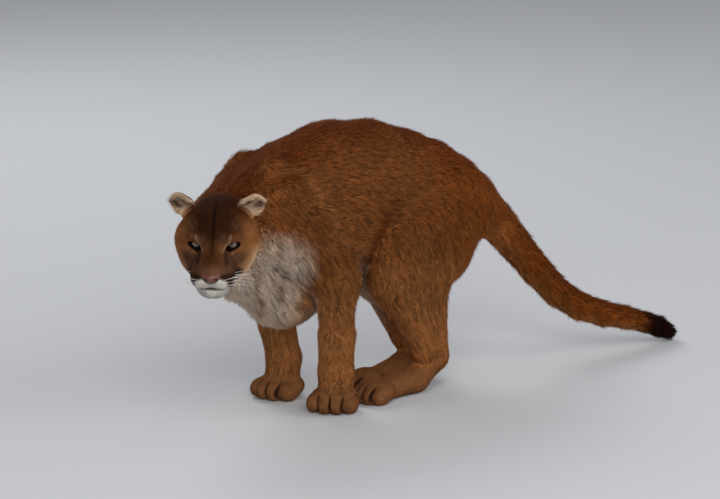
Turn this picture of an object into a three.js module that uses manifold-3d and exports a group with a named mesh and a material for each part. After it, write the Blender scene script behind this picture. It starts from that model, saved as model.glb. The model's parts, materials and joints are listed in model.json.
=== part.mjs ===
// A life-size adult male cougar (Puma concolor) in winter coat, standing hunched with its hind feet
// drawn up behind the forefeet, its head low and turned to its left, and its tail trailing to the floor.
//
// Millimetres. The animal heads along -X, its left side is -Y, +Z is up and the floor is z = 0.
// The figure is built round a point on the floor between the forefeet, and the finished group is
// moved so that the origin is the centre of its footprint.
//
// Each part of the body is a smooth blend of bones and muscles: tapered limbs and egg-shaped masses.
// The blend is turned into a closed mesh, thinned to the triangles that its form needs, and parted
// from its neighbours with thin planar cuts.

import * as THREE from "three";
import Module from "manifold-3d";

const wasm = await Module();
wasm.setup();

const GAP = 0.3; // between the cut faces of neighbouring parts
const LEFT = -1;
const RIGHT = 1;

// Driving sizes of the animal.
const EYE_RADIUS = 14.5;
const EYE_SPACING = 74; // between the pupils
const HEAD_YAW = 42; // degrees that the head turns to the animal's left
const HEAD_PITCH = 9; // degrees that the muzzle points down
const EYE_LINE = [-326, -88, 402]; // the middle of the line between the eyes
const FOREPAW = { length: 114, width: 106, height: 54, toe: 15 };
const HINDPAW = { length: 98, width: 84, height: 50, toe: 12.5 };
const SOCKET_GAP = 0.45;

const point = (x, y, z) => new THREE.Vector3(x, y, z);
const WORLD = new THREE.Matrix4();

// Distance fields of single shapes. Each has the sphere that bounds it, so that far shapes are skipped.

// A tapered round limb from a to b. `flat` under 1 thins it along the direction `along`.
function limb(a, b, ra, rb, { blend = 18, frame = WORLD, along = null, flat = 1 } = {}) {
  const from = point(...a).applyMatrix4(frame);
  const to = point(...b).applyMatrix4(frame);
  const axis = to.clone().sub(from);
  const l2 = axis.lengthSq();
  const rr = ra - rb;
  const a2 = l2 - rr * rr;
  const il2 = 1 / l2;
  const thin = along ? point(...along).transformDirection(frame) : point(0, 0, 0);
  const stretch = 1 / flat - 1;
  const middle = from.clone().add(to).multiplyScalar(0.5);
  const at = (x, y, z) => {
    let px = x - from.x;
    let py = y - from.y;
    let pz = z - from.z;
    if (flat !== 1) {
      const side = (px * thin.x + py * thin.y + pz * thin.z) * stretch;
      px += thin.x * side;
      py += thin.y * side;
      pz += thin.z * side;
    }
    const h = px * axis.x + py * axis.y + pz * axis.z;
    const k = h - l2;
    const qx = px * l2 - axis.x * h;
    const qy = py * l2 - axis.y * h;
    const qz = pz * l2 - axis.z * h;
    const x2 = qx * qx + qy * qy + qz * qz;
    const y2 = h * h * l2;
    const z2 = k * k * l2;
    const edge = Math.sign(rr) * rr * rr * x2;
    if (Math.sign(k) * a2 * z2 > edge) return (Math.sqrt(x2 + z2) * il2 - rb) * flat;
    if (Math.sign(h) * a2 * y2 < edge) return (Math.sqrt(x2 + y2) * il2 - ra) * flat;
    return ((Math.sqrt(x2 * a2 * il2) + h * rr) * il2 - ra) * flat;
  };
  return { at, blend, middle, reach: Math.sqrt(l2) / 2 + Math.max(ra, rb) };
}

// An egg-shaped mass. `turn` is its rotation about X, Y and Z in degrees.
function mass(centre, radii, { blend = 30, frame = WORLD, turn = [0, 0, 0] } = {}) {
  const euler = new THREE.Euler(...turn.map(THREE.MathUtils.degToRad));
  const local = new THREE.Matrix4().makeRotationFromEuler(euler).setPosition(...centre);
  const placed = frame.clone().multiply(local);
  const e = placed.clone().invert().elements;
  const [rx, ry, rz] = radii;
  const at = (x, y, z) => {
    const px = (e[0] * x + e[4] * y + e[8] * z + e[12]) / rx;
    const py = (e[1] * x + e[5] * y + e[9] * z + e[13]) / ry;
    const pz = (e[2] * x + e[6] * y + e[10] * z + e[14]) / rz;
    const k0 = Math.sqrt(px * px + py * py + pz * pz);
    const k1 = Math.sqrt((px / rx) ** 2 + (py / ry) ** 2 + (pz / rz) ** 2);
    return k1 > 1e-9 ? (k0 * (k0 - 1)) / k1 : -Math.min(rx, ry, rz);
  };
  return { at, blend, middle: point(0, 0, 0).applyMatrix4(placed), reach: Math.max(...radii) };
}

const hollow = (shape) => ({ ...shape, hollow: true });

// The blend of several shapes as one field: negative inside. Hollow shapes are carved out in turn.
// The field may start from the value `d` of another one, which it then blends with.
function blendOf(shapes) {
  const list = shapes.map((s) => [s.at, s.blend, s.middle.x, s.middle.y, s.middle.z, s.reach, s.hollow]);
  return (x, y, z, d = 1e4) => {
    for (const [at, k, cx, cy, cz, reach, carved] of list) {
      const limit = reach + (carved ? k : d + k);
      if (limit < 0 || (x - cx) ** 2 + (y - cy) ** 2 + (z - cz) ** 2 > limit * limit) continue;
      const e = carved ? -at(x, y, z) : at(x, y, z);
      const h = Math.max(k - Math.abs(d - e), 0);
      const bulge = (h * h) / (4 * k);
      d = carved ? Math.max(d, e) + bulge : Math.min(d, e) - bulge;
    }
    return d;
  };
}

// The closed surface of a field inside a box, as points and triangles, found on a grid of cubes.
const COARSE = 4; // cubes along the side of a block that is passed over when it is far from the surface
function surfaceOf(field, low, high, cell) {
  const n = low.map((v, i) => Math.ceil((high[i] - v) / cell / COARSE) * COARSE + 1);
  const [nx, ny, nz] = n;
  const value = new Float32Array(nx * ny * nz).fill(cell);
  const steps = [1, nx, nx * ny];
  const index = (i, j, k) => i + j * nx + k * nx * ny;
  const far = COARSE * cell + 20;
  for (let k = 2; k < nz - 1; k += COARSE)
    for (let j = 2; j < ny - 1; j += COARSE)
      for (let i = 2; i < nx - 1; i += COARSE) {
        const [x, y, z] = [i, j, k].map((v, axis) => low[axis] + (v + (COARSE - 1) / 2) * cell);
        const middle = field(x, y, z);
        for (let c = k; c < Math.min(k + COARSE, nz - 1); c++)
          for (let b = j; b < Math.min(j + COARSE, ny - 1); b++)
            for (let a = i; a < Math.min(i + COARSE, nx - 1); a++) {
              const at = [low[0] + a * cell, low[1] + b * cell, low[2] + c * cell];
              value[index(a, b, c)] = Math.abs(middle) > far ? middle : field(...at);
            }
      }
  partSheets(value, n, steps);
  const vertexIn = new Int32Array(nx * ny * nz).fill(-1);
  const points = [];
  for (let k = 0; k < nz - 1; k++)
    for (let j = 0; j < ny - 1; j++)
      for (let i = 0; i < nx - 1; i++) {
        const found = crossingCentre(value, index(i, j, k), steps);
        if (!found) continue;
        const p = found.map((f, axis) => low[axis] + ([i, j, k][axis] + f) * cell);
        vertexIn[index(i, j, k)] = points.length;
        points.push(settle(field, p, cell));
      }
  const triangles = [];
  for (let k = 1; k < nz - 1; k++)
    for (let j = 1; j < ny - 1; j++)
      for (let i = 1; i < nx - 1; i++) {
        const at = index(i, j, k);
        for (let axis = 0; axis < 3; axis++) {
          const inside = value[at] < 0;
          if (inside === value[at + steps[axis]] < 0) continue;
          const u = steps[(axis + 1) % 3];
          const v = steps[(axis + 2) % 3];
          const ring = [vertexIn[at - u - v], vertexIn[at - v], vertexIn[at], vertexIn[at - u]];
          const [a, b, c, d] = inside ? ring : ring.reverse();
          if (spacing(points[a], points[c]) < spacing(points[b], points[d]))
            triangles.push([a, b, c], [a, c, d]);
          else triangles.push([b, c, d], [b, d, a]);
        }
      }
  return { points, triangles };
}

const CUBE_EDGES = [];
for (let a = 0; a < 8; a++) for (const bit of [1, 2, 4]) if (!(a & bit)) CUBE_EDGES.push([a, a | bit]);
const CUBE_FACES = [[0, 1, 2, 3], [4, 5, 6, 7], [0, 1, 4, 5], [2, 3, 6, 7], [0, 2, 4, 6], [1, 3, 5, 7]];

// Whether the corners of a cube in `inside`, a bit for each, leave more than one sheet of surface in it.
function manySheets(inside) {
  const is = (corner) => (inside >> corner) & 1;
  if (CUBE_FACES.some(([a, b, c, d]) => is(a) === is(d) && is(b) === is(c) && is(a) !== is(b))) return true;
  return [0, 1].some((side) => {
    const corners = [0, 1, 2, 3, 4, 5, 6, 7].filter((c) => is(c) === side);
    const reached = new Set(corners.slice(0, 1));
    for (const c of reached) for (const bit of [1, 2, 4]) if (is(c ^ bit) === side) reached.add(c ^ bit);
    return reached.size !== corners.length;
  });
}
const MANY_SHEETS = Array.from({ length: 256 }, (_, inside) => manySheets(inside));

// Takes single grid points out of the solid until no cube holds two sheets, so that the surface is closed
// and simple everywhere.
function partSheets(value, [nx, ny, nz], steps) {
  const corner = (at, c) => at + (c & 1) * steps[0] + ((c >> 1) & 1) * steps[1] + (c >> 2) * steps[2];
  for (let found = true; found; ) {
    found = false;
    for (let k = 0; k < nz - 1; k++)
      for (let j = 0; j < ny - 1; j++)
        for (let i = 0; i < nx - 1; i++) {
          const at = i + j * steps[1] + k * steps[2];
          let inside = 0;
          for (let c = 0; c < 8; c++) if (value[corner(at, c)] < 0) inside |= 1 << c;
          if (!MANY_SHEETS[inside]) continue;
          let least = -1;
          for (let c = 0; c < 8; c++) {
            const here = value[corner(at, c)];
            if (here < 0 && (least < 0 || here > value[least])) least = corner(at, c);
          }
          value[least] = 1e-3;
          found = true;
        }
  }
}

// The mean of the points where a field crosses the edges of one cube, or null if it crosses none.
function crossingCentre(value, at, steps) {
  let count = 0;
  let [x, y, z] = [0, 0, 0];
  for (const [a, b] of CUBE_EDGES) {
    const from = value[at + (a & 1) * steps[0] + ((a >> 1) & 1) * steps[1] + (a >> 2) * steps[2]];
    const to = value[at + (b & 1) * steps[0] + ((b >> 1) & 1) * steps[1] + (b >> 2) * steps[2]];
    if (from < 0 === to < 0) continue;
    const t = from / (from - to);
    x += (a & 1) + t * ((b & 1) - (a & 1));
    y += ((a >> 1) & 1) + t * (((b >> 1) & 1) - ((a >> 1) & 1));
    z += (a >> 2) + t * ((b >> 2) - (a >> 2));
    count++;
  }
  return count ? [x / count, y / count, z / count] : null;
}

const spacing = (p, q) => (p[0] - q[0]) ** 2 + (p[1] - q[1]) ** 2 + (p[2] - q[2]) ** 2;

// Moves a point onto the field's surface, by at most half a cell.
function settle(field, start, cell) {
  const h = cell / 8;
  let p = start;
  for (let step = 0; step < 3; step++) {
    const [x, y, z] = p;
    const d = field(x, y, z);
    const g = [
      (field(x + h, y, z) - field(x - h, y, z)) / (2 * h),
      (field(x, y + h, z) - field(x, y - h, z)) / (2 * h),
      (field(x, y, z + h) - field(x, y, z - h)) / (2 * h),
    ];
    const steep = Math.max(g[0] ** 2 + g[1] ** 2 + g[2] ** 2, 0.05);
    const next = p.map((v, axis) => v - (d * g[axis]) / steep);
    if (next.some((v, axis) => Math.abs(v - start[axis]) > cell / 2)) break;
    p = next;
  }
  return p;
}

// Thins a closed surface to about `most` triangles by collapsing the edges whose loss changes it least.
// No collapse changes it by more than `worst`. With `pinned`, points only merge into one another and
// none moves, so flat faces stay flat.
function thinned({ points, triangles }, most, { worst = Infinity, pinned = false } = {}) {
  const p = points.map((q) => [...q]);
  const faces = triangles.map((t) => [...t]);
  const alive = faces.map(() => true);
  const around = p.map(() => []);
  faces.forEach((t, f) => t.forEach((v) => around[v].push(f)));
  const quadric = p.map(() => new Float64Array(10));
  faces.forEach((t) => {
    const [n, area] = planeOf(p, t);
    const d = -(n[0] * p[t[0]][0] + n[1] * p[t[0]][1] + n[2] * p[t[0]][2]);
    const q = [n[0], n[1], n[2], d];
    for (const v of t)
      for (let i = 0, m = 0; i < 4; i++) for (let j = i; j < 4; j++) quadric[v][m++] += area * q[i] * q[j];
  });
  const stamp = new Int32Array(p.length);
  const heap = new Heap();
  const offer = (a, b) => {
    const q = quadric[a].map((v, i) => v + quadric[b][i]);
    const [cost, place] = bestPlace(q, p[a], p[b], pinned);
    heap.push([cost + 1e-4 * spacing(p[a], p[b]), a, b, stamp[a], stamp[b], place]);
  };
  const live = (v) => around[v].filter((f) => alive[f]);
  const ring = (v) => new Set(live(v).flatMap((f) => faces[f].filter((w) => w !== v)));
  faces.forEach((t) => {
    for (let i = 0; i < 3; i++) if (t[i] < t[(i + 1) % 3]) offer(t[i], t[(i + 1) % 3]);
  });
  let left = faces.length;
  while (left > most && heap.size) {
    const [cost, a, b, sa, sb, place] = heap.pop();
    if (cost > worst) break;
    if (stamp[a] !== sa || stamp[b] !== sb) continue;
    const ringA = ring(a);
    const shared = [...ring(b)].filter((v) => ringA.has(v));
    const dying = live(a).filter((f) => faces[f].includes(b));
    if (shared.length !== 2 || dying.length !== 2) continue;
    const staying = [...live(a), ...live(b)].filter((f) => !dying.includes(f));
    if (staying.some((f) => turnsOver(p, faces[f], a, b, place))) continue;
    dying.forEach((f) => (alive[f] = false));
    left -= 2;
    p[a] = place;
    quadric[a].forEach((_, i) => (quadric[a][i] += quadric[b][i]));
    live(b).forEach((f) => (faces[f][faces[f].indexOf(b)] = a));
    around[a] = [...new Set(staying)];
    around[b] = [];
    stamp[b]++;
    stamp[a]++;
    for (const v of ring(a)) offer(Math.min(a, v), Math.max(a, v));
  }
  const used = [...new Set(faces.filter((_, f) => alive[f]).flat())];
  const renamed = new Map(used.map((v, i) => [v, i]));
  const kept = faces.filter((_, f) => alive[f]).map((t) => t.map((v) => renamed.get(v)));
  return { points: used.map((v) => p[v]), triangles: kept };
}

// A triangle's unit normal and area.
function planeOf(p, [a, b, c]) {
  const [u, v] = [b, c].map((i) => p[i].map((w, axis) => w - p[a][axis]));
  const n = [u[1] * v[2] - u[2] * v[1], u[2] * v[0] - u[0] * v[2], u[0] * v[1] - u[1] * v[0]];
  const length = Math.sqrt(n[0] ** 2 + n[1] ** 2 + n[2] ** 2) || 1e-12;
  return [n.map((w) => w / length), length / 2];
}

// Whether moving a or b to a new place would turn a triangle over, or nearly.
function turnsOver(p, triangle, a, b, place) {
  const before = planeOf(p, triangle)[0];
  const moved = triangle.map((v) => (v === a || v === b ? place : p[v]));
  const [after, area] = planeOf(moved, [0, 1, 2]);
  const longest = Math.max(...moved.map((v, i) => spacing(v, moved[(i + 1) % 3])));
  const agreement = before[0] * after[0] + before[1] * after[1] + before[2] * after[2];
  return agreement < 0.3 || area < 0.04 * longest;
}

// The point with the least quadric error for a collapsed edge, and that error.
function bestPlace(q, a, b, pinned) {
  const errorAt = ([x, y, z]) =>
    q[0] * x * x + 2 * q[1] * x * y + 2 * q[2] * x * z + 2 * q[3] * x + q[4] * y * y +
    2 * q[5] * y * z + 2 * q[6] * y + q[7] * z * z + 2 * q[8] * z + q[9];
  const middle = a.map((v, i) => (v + b[i]) / 2);
  const places = pinned ? [a, b] : [a, b, middle];
  const system = new THREE.Matrix3(q[0], q[1], q[2], q[1], q[4], q[5], q[2], q[5], q[7]);
  if (!pinned && Math.abs(system.determinant()) > 1e-6) {
    const best = point(-q[3], -q[6], -q[8]).applyMatrix3(system.invert()).toArray();
    if (spacing(best, middle) < spacing(a, b)) places.push(best);
  }
  const errors = places.map(errorAt);
  const least = errors.indexOf(Math.min(...errors));
  return [Math.max(errors[least], 0), places[least]];
}

// A heap that gives back the entry with the smallest first value.
class Heap {
  items = [];
  get size() {
    return this.items.length;
  }
  push(item) {
    const { items } = this;
    let i = items.push(item) - 1;
    while (i && items[(i - 1) >> 1][0] > item[0]) {
      items[i] = items[(i - 1) >> 1];
      i = (i - 1) >> 1;
    }
    items[i] = item;
  }
  pop() {
    const { items } = this;
    const top = items[0];
    const last = items.pop();
    if (!items.length) return top;
    let i = 0;
    for (;;) {
      let child = 2 * i + 1;
      if (child >= items.length) break;
      if (child + 1 < items.length && items[child + 1][0] < items[child][0]) child++;
      if (items[child][0] >= last[0]) break;
      items[i] = items[child];
      i = child;
    }
    items[i] = last;
    return top;
  }
}

// Solids for joining and cutting.

function solidOf({ points, triangles }) {
  const vertProperties = new Float32Array(points.flat());
  const triVerts = new Uint32Array(triangles.flat());
  return new wasm.Manifold(new wasm.Mesh({ numProp: 3, vertProperties, triVerts }));
}

// A closed three.js geometry as a solid, its doubled points joined.
function solidFrom(geometry) {
  const position = geometry.getAttribute("position");
  const keys = new Map();
  const points = [];
  const shared = Array.from({ length: position.count }, (_, i) => {
    const p = [position.getX(i), position.getY(i), position.getZ(i)];
    const key = p.map((v) => v.toFixed(3)).join();
    if (!keys.has(key)) keys.set(key, points.push(p) - 1);
    return keys.get(key);
  });
  const triangles = [];
  for (let i = 0; i < geometry.index.count; i += 3) {
    const t = [0, 1, 2].map((j) => shared[geometry.index.getX(i + j)]);
    if (new Set(t).size === 3) triangles.push(t);
  }
  return solidOf({ points, triangles });
}

// A box as a solid: its size, centre and rotation about X, Y and Z in degrees.
function block(size, centre, turn = [0, 0, 0], frame = WORLD) {
  const euler = new THREE.Euler(...turn.map(THREE.MathUtils.degToRad));
  const placed = new THREE.Matrix4().makeRotationFromEuler(euler).setPosition(...centre);
  return solidFrom(new THREE.BoxGeometry(...size).applyMatrix4(frame.clone().multiply(placed)));
}

// The half of space in front of a plane, as a large block: `centre` on the plane, `normal` pointing into it.
const HALF = 4000;
function halfSpace(centre, normal, set = 0) {
  const n = point(...normal).normalize();
  const turn = new THREE.Quaternion().setFromUnitVectors(point(0, 0, 1), n);
  const middle = point(...centre).addScaledVector(n, HALF / 2 + set);
  const frame = new THREE.Matrix4().compose(middle, turn, point(1, 1, 1));
  return block([HALF, HALF, HALF], [0, 0, 0], [0, 0, 0], frame);
}

const largest = (solid) => solid.decompose().sort((a, b) => b.volume() - a.volume())[0];

// The head's own frame: +X forward out of the face, +Y to the animal's left, +Z up out of the crown.
const head = new THREE.Matrix4()
  .makeRotationZ(THREE.MathUtils.degToRad(180 + HEAD_YAW))
  .multiply(new THREE.Matrix4().makeRotationY(THREE.MathUtils.degToRad(HEAD_PITCH)))
  .setPosition(...EYE_LINE);
const toWorld = (p, frame = head) => point(...p).applyMatrix4(frame).toArray();
const between = (a, b, t) => a.map((v, i) => v + t * (b[i] - v));

// A chain of limbs through stations, each a point and the radius there.
function chain(stations, style) {
  return stations.slice(1).map(([to, r], i) => limb(stations[i][0], to, stations[i][1], r, style));
}
const narrow = (flat, blend = 30) => ({ along: [0, 1, 0], flat, blend });

// Trunk, from the chest to the root of the tail, then brisket, belly fold and neck.
const trunk = [
  limb([-115, 0, 396], [-30, 0, 402], 138, 176, narrow(0.68, 8)),
  limb([-30, 0, 402], [60, 0, 419], 176, 182, narrow(0.64, 8)),
  limb([60, 0, 419], [150, -2, 419], 182, 175, narrow(0.61, 8)),
  limb([150, -2, 419], [240, -4, 408], 175, 158, narrow(0.58, 8)),
  limb([240, -4, 408], [325, -5, 399], 158, 133, narrow(0.6, 8)),
  limb([325, -5, 399], [395, -3, 390], 133, 103, narrow(0.7, 8)),
  limb([395, -3, 390], [460, 0, 370], 103, 76, narrow(0.85, 8)),
  limb([460, 0, 370], [555, 0, 316], 76, 46, narrow(1, 12)),
  mass([206, -14, 234], [58, 36, 46], { blend: 30 }),
  limb([110, -16, 284], [212, -34, 236], 46, 50, narrow(0.8, 26)),
  limb([-165, 0, 325], [-62, 0, 268], 72, 97, narrow(0.84, 30)),
  limb([-214, 4, 412], [-120, 4, 424], 84, 108, narrow(0.98, 30)),
  limb([-215, 0, 366], [-160, 0, 345], 58, 88, narrow(0.9, 36)),
];

// The tail: stations along its middle line with its radius at each.
const TAIL = [
  [[555, 0, 318], 47],
  [[608, -12, 258], 41],
  [[656, -30, 196], 38],
  [[702, -52, 142], 36],
  [[748, -72, 108], 34.5],
  [[803, -92, 86], 32],
  [[857, -105, 71], 29],
  [[913, -115, 53], 27],
  [[954, -120, 37], 26],
  [[980, -123, 23], 23],
];
const tail = chain(TAIL, { blend: 6 });

// A paw's four toes and its palm, in a frame at the middle of the sole that points ahead along +X.
function paw([x, y], yaw, { length, width, height, toe }) {
  const frame = new THREE.Matrix4().makeRotationZ(THREE.MathUtils.degToRad(180 + yaw)).setPosition(x, y, 0);
  const toes = [-1.5, -0.5, 0.5, 1.5].map((i) => {
    const side = i * (width / 2 - toe) / 1.5;
    const ahead = length * (0.25 - (Math.abs(i) - 0.5) * 0.1);
    return mass([ahead, side, height * 0.36], [length * 0.25, toe * 1.2, height * 0.4], { blend: 6, frame });
  });
  const palmRadii = [length * 0.43, width * 0.49, height * 0.56];
  const palm = mass([-length * 0.05, 0, height * 0.46], palmRadii, { blend: 7, frame });
  return [palm, ...toes];
}

// The four limbs, each from the trunk down.
function foreleg({ scapula, shoulder, elbow, wrist, foot, yaw }) {
  const upper = between(scapula, shoulder, 0.48);
  const low = between(elbow, wrist, 0.6);
  return [
    limb(scapula, shoulder, 40, 68, narrow(0.56, 26)),
    limb([upper[0] + 11, upper[1], upper[2] - 6], between(elbow, shoulder, 0.05), 70, 50, narrow(0.64, 7)),
    limb(shoulder, elbow, 64, 52, narrow(0.72, 14)),
    limb(elbow, low, 47, 42, narrow(0.88)),
    limb(low, wrist, 42, 39, { blend: 8 }),
    limb(wrist, [...between(wrist, foot, 0.4).slice(0, 2), 36], 40, 38, { blend: 10 }),
    ...paw(foot, yaw, FOREPAW),
  ];
}

function hindleg({ hip, seat, fold, knee, calf, ankle, heel, ball, foot, yaw }) {
  const ham = between(seat, calf, 0.6);
  const thigh = between(hip, knee, 0.5);
  return [
    limb(hip, thigh, 104, 90, narrow(0.66, 16)),
    limb(between(fold, hip, 0.68), fold, 90, 74, narrow(0.62, 9)),
    limb(fold, knee, 74, 60, narrow(0.62, 9)),
    limb(thigh, knee, 90, 60, narrow(0.64)),
    limb(seat, ham, 66, 66, narrow(0.66)),
    limb(ham, calf, 66, 50, narrow(0.66)),
    limb(knee, ankle, 56, 40, narrow(0.74, 24)),
    limb(calf, [heel[0] + 2, heel[1], heel[2] + 26], 48, 27, narrow(0.72, 24)),
    limb(ankle, heel, 40, 30, narrow(0.8, 14)),
    limb(heel, ball, 30, 29, { blend: 12 }),
    limb(ball, [foot[0] + 20, foot[1], 22], 29, 24, { blend: 10 }),
    ...paw(foot, yaw, HINDPAW),
  ];
}

const FORE_LEFT = {
  scapula: [-140, -58, 526], shoulder: [-152, -94, 400], elbow: [4, -96, 278],
  wrist: [8, -86, 86], foot: [7, -81], yaw: 36,
};
const FORE_RIGHT = {
  scapula: [-126, 57, 515], shoulder: [-142, 94, 400], elbow: [-16, 104, 272],
  wrist: [18, 88, 82], foot: [2, 84], yaw: 12,
};
const HIND_LEFT = {
  hip: [345, -52, 388], seat: [428, -50, 362], fold: [178, -90, 314], knee: [170, -103, 260],
  calf: [266, -102, 248], ankle: [264, -89, 98], heel: [294, -88, 72], ball: [236, -87, 31],
  foot: [121, -87], yaw: 6,
};
const HIND_RIGHT = {
  hip: [345, 52, 388], seat: [432, 50, 362], fold: [232, 82, 316], knee: [244, 74, 280],
  calf: [326, 62, 248], ankle: [324, 26, 98], heel: [354, 24, 72], ball: [292, 16, 31],
  foot: [168, -2], yaw: -4,
};
const limbs = [foreleg(FORE_LEFT), foreleg(FORE_RIGHT), hindleg(HIND_LEFT), hindleg(HIND_RIGHT)];

// The skull with its muzzle, cheeks, jaw and brows.
const face = [
  mass([-68, 0, 8], [78, 68, 70], { blend: 30, frame: head }),
  mass([-30, 0, 18], [42, 48, 38], { blend: 24, frame: head }),
  limb([-14, 0, 8], [54, 0, -33], 26, 20, { blend: 14, frame: head }),
  mass([36, 0, -85], [27, 22, 14], { blend: 10, frame: head }),
];
for (const s of [LEFT, RIGHT]) {
  face.push(
    mass([44, s * 20, -54], [30, 24, 22], { blend: 16, frame: head }),
    mass([12, s * 22, -35], [42, 23, 24], { blend: 20, frame: head }),
    limb([-50, s * 28, -52], [26, s * 15, -78], 34, 20, { blend: 18, frame: head }),
    mass([-52, s * 50, -7], [48, 39, 43], { blend: 24, frame: head }),
    mass([-24, s * 50, -16], [28, 24, 22], { blend: 18, frame: head }),
    mass([-32, s * 43, -42], [34, 28, 28], { blend: 24, frame: head }),
    mass([-5, s * 35, 18], [17, 22, 9], { blend: 10, frame: head, turn: [s * 12, 0, 0] }),
  );
}
const nosePad = mass([64, 0, -45], [16, 17, 12], { blend: 6, frame: head });
const faceField = blendOf([...face, nosePad]);

// A point on the face, seen from `centre` in a direction that is `bearing` degrees left of ahead.
function onFace(centre, bearing) {
  const angle = THREE.MathUtils.degToRad(bearing);
  const step = [Math.cos(angle), Math.sin(angle), 0];
  let reach = 120;
  while (reach > 0 && faceField(...toWorld(centre.map((v, i) => v + step[i] * reach))) > 0) reach -= 0.5;
  return centre.map((v, i) => v + step[i] * reach);
}

// The line of the mouth, the cleft under the nose, and the nostrils.
const MOUTH_CENTRE = [18, 0, -72];
const MOUTH_BEARINGS = [-86, -68, -50, -33, -16, 0, 16, 33, 50, 68, 86];
const mouth = MOUTH_BEARINGS.map((bearing) => {
  const rise = 7 * Math.abs(bearing / 86) ** 2 - 2;
  return onFace([MOUTH_CENTRE[0], 0, MOUTH_CENTRE[2] + rise], bearing);
});
const cleft = [onFace([20, 0, -57], 0), onFace([20, 0, -65], 0), mouth[5]];
const carve = (line, r) => {
  return line.slice(1).map((to, i) => hollow(limb(line[i], to, r, r, { blend: 2.5, frame: head })));
};
const NOSTRIL = { bearing: 17, centre: [40, 0, -47], radius: 3.6 };
const nostrils = [-1, 1].map((s) => {
  const at = onFace(NOSTRIL.centre, s * NOSTRIL.bearing);
  return hollow(mass(at, [4, NOSTRIL.radius + 1, NOSTRIL.radius - 0.6], { blend: 1.5, frame: head }));
});
const muzzleDetail = [nosePad, ...carve(mouth, 2.4), ...carve(cleft, 1.8), ...nostrils];

// Eyes, in sockets behind two lids that leave an almond-shaped opening.
const EYE_BACK = 15;
const lids = [-1, 1].flatMap((s) => {
  const at = [-EYE_BACK, (s * EYE_SPACING) / 2, 0];
  const opening = [2, at[1], -1];
  return [
    mass(at, [19.5, 20, 19], { blend: 8, frame: head }),
    hollow(mass(opening, [26, 14.5, 6.6], { blend: 2, frame: head, turn: [s * 20, 0, 0] })),
  ];
});

// Ears: rounded cups that open ahead and outwards, each in a frame at the middle of its root whose +Z
// runs to the tip and +X out of the cup.
const EAR = { root: [-60, 58, 50], length: 50 };
const earFrames = [-1, 1].map((s) => {
  const tip = point(-0.12, s * 0.72, 0.68).normalize();
  const open = point(0.82, s * 0.4, -0.1);
  open.addScaledVector(tip, -open.dot(tip)).normalize();
  const local = new THREE.Matrix4().makeBasis(open, tip.clone().cross(open), tip);
  local.setPosition(EAR.root[0], s * EAR.root[1], EAR.root[2]);
  return head.clone().multiply(local);
});
const cup = { along: [1, 0, 0], flat: 0.55 };
const ears = earFrames.flatMap((frame) => [
  limb([0, 0, -2], [-3, 0, EAR.length - 22], 30, 22, { ...cup, blend: 10, frame }),
  hollow(limb([13, 0, 9], [10, 0, EAR.length - 22], 23, 16, { ...cup, flat: 0.8, blend: 3, frame })),
]);

const limbFields = limbs.map(blendOf);

// The field of the whole animal, whose trunk is given. Each limb blends with the trunk alone.
function animal(shapes) {
  const trunkField = blendOf(shapes);
  return (x, y, z) => {
    const torso = trunkField(x, y, z);
    let d = torso;
    for (const field of limbFields) d = Math.min(d, field(x, y, z, torso));
    return d;
  };
}
const bodyField = animal([...trunk, ...tail, ...face]);

// The head in full. Its ears stand clear of the shoulders, so they blend with the skull alone.
const finerField = animal([...trunk, ...face, ...muzzleDetail, ...lids]);
const earField = blendOf([mass([-80, 0, 10], [60, 66, 66], { frame: head }), ...ears]);
const headField = (x, y, z) => Math.min(finerField(x, y, z), earField(x, y, z));

const BODY_CELL = 6.5;
const BODY_TRIANGLES = 8200;
const HEAD_CELL = 2.6;
const HEAD_TRIANGLES = 4700;
const bodySurface = surfaceOf(bodyField, [-480, -220, -40], [1030, 190, 640], BODY_CELL);
const body = solidOf(thinned(bodySurface, BODY_TRIANGLES)).intersect(halfSpace([0, 0, 0], [0, 0, 1]));

// The head is modelled again on a finer grid, in a box round it.
const headLow = [EYE_LINE[0] - 110, EYE_LINE[1] - 130, EYE_LINE[2] - 140];
const headHigh = [EYE_LINE[0] + 190, EYE_LINE[1] + 190, EYE_LINE[2] + 130];
const headSolid = solidOf(thinned(surfaceOf(headField, headLow, headHigh, HEAD_CELL), HEAD_TRIANGLES));

// An eye as a solid ball.
function eyeball(s, grown = 0) {
  const geometry = new THREE.SphereGeometry(EYE_RADIUS + grown, 20, 10);
  geometry.applyMatrix4(new THREE.Matrix4().makeRotationZ(Math.PI / 2));
  geometry.applyMatrix4(new THREE.Matrix4().makeTranslation(-EYE_BACK, (s * EYE_SPACING) / 2, 0));
  geometry.applyMatrix4(head);
  return solidFrom(geometry);
}

// Parting. Each region is a block of space; what is cut from it leaves a gap round the rest.
const group = new THREE.Group();
const COAT = { color: 0x8f5a34, roughness: 0.95 };
const DARK = { color: 0x4a3226, roughness: 0.95 };
const PALE = { color: 0xb98a63, roughness: 0.95 };
const EYE = { color: 0x9aa79a, roughness: 0.15 };
const NOSE = { color: 0xa8695a, roughness: 0.6 };

// How much a cut part may change when its smallest triangles go. The sockets follow the eyeballs closely.
const FINE = 12;
const FINEST = 0.15;

// Adds a part to the group: the largest piece of a solid, thinned to the triangles that it needs.
function keep(name, solid, look, worst = FINE) {
  const { vertProperties, triVerts, numProp } = largest(solid).getMesh();
  const points = [];
  for (let i = 0; i < vertProperties.length; i += numProp) points.push([...vertProperties.slice(i, i + 3)]);
  const triangles = [];
  for (let i = 0; i < triVerts.length; i += 3) triangles.push([...triVerts.slice(i, i + 3)]);
  const part = thinned({ points, triangles }, 0, { worst, pinned: true });
  const geometry = new THREE.BufferGeometry();
  geometry.setAttribute("position", new THREE.Float32BufferAttribute(part.points.flat(), 3));
  geometry.setIndex(part.triangles.flat());
  geometry.computeVertexNormals();
  const mesh = new THREE.Mesh(geometry, new THREE.MeshStandardMaterial({ ...look }));
  mesh.name = name;
  group.add(mesh);
}

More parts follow.
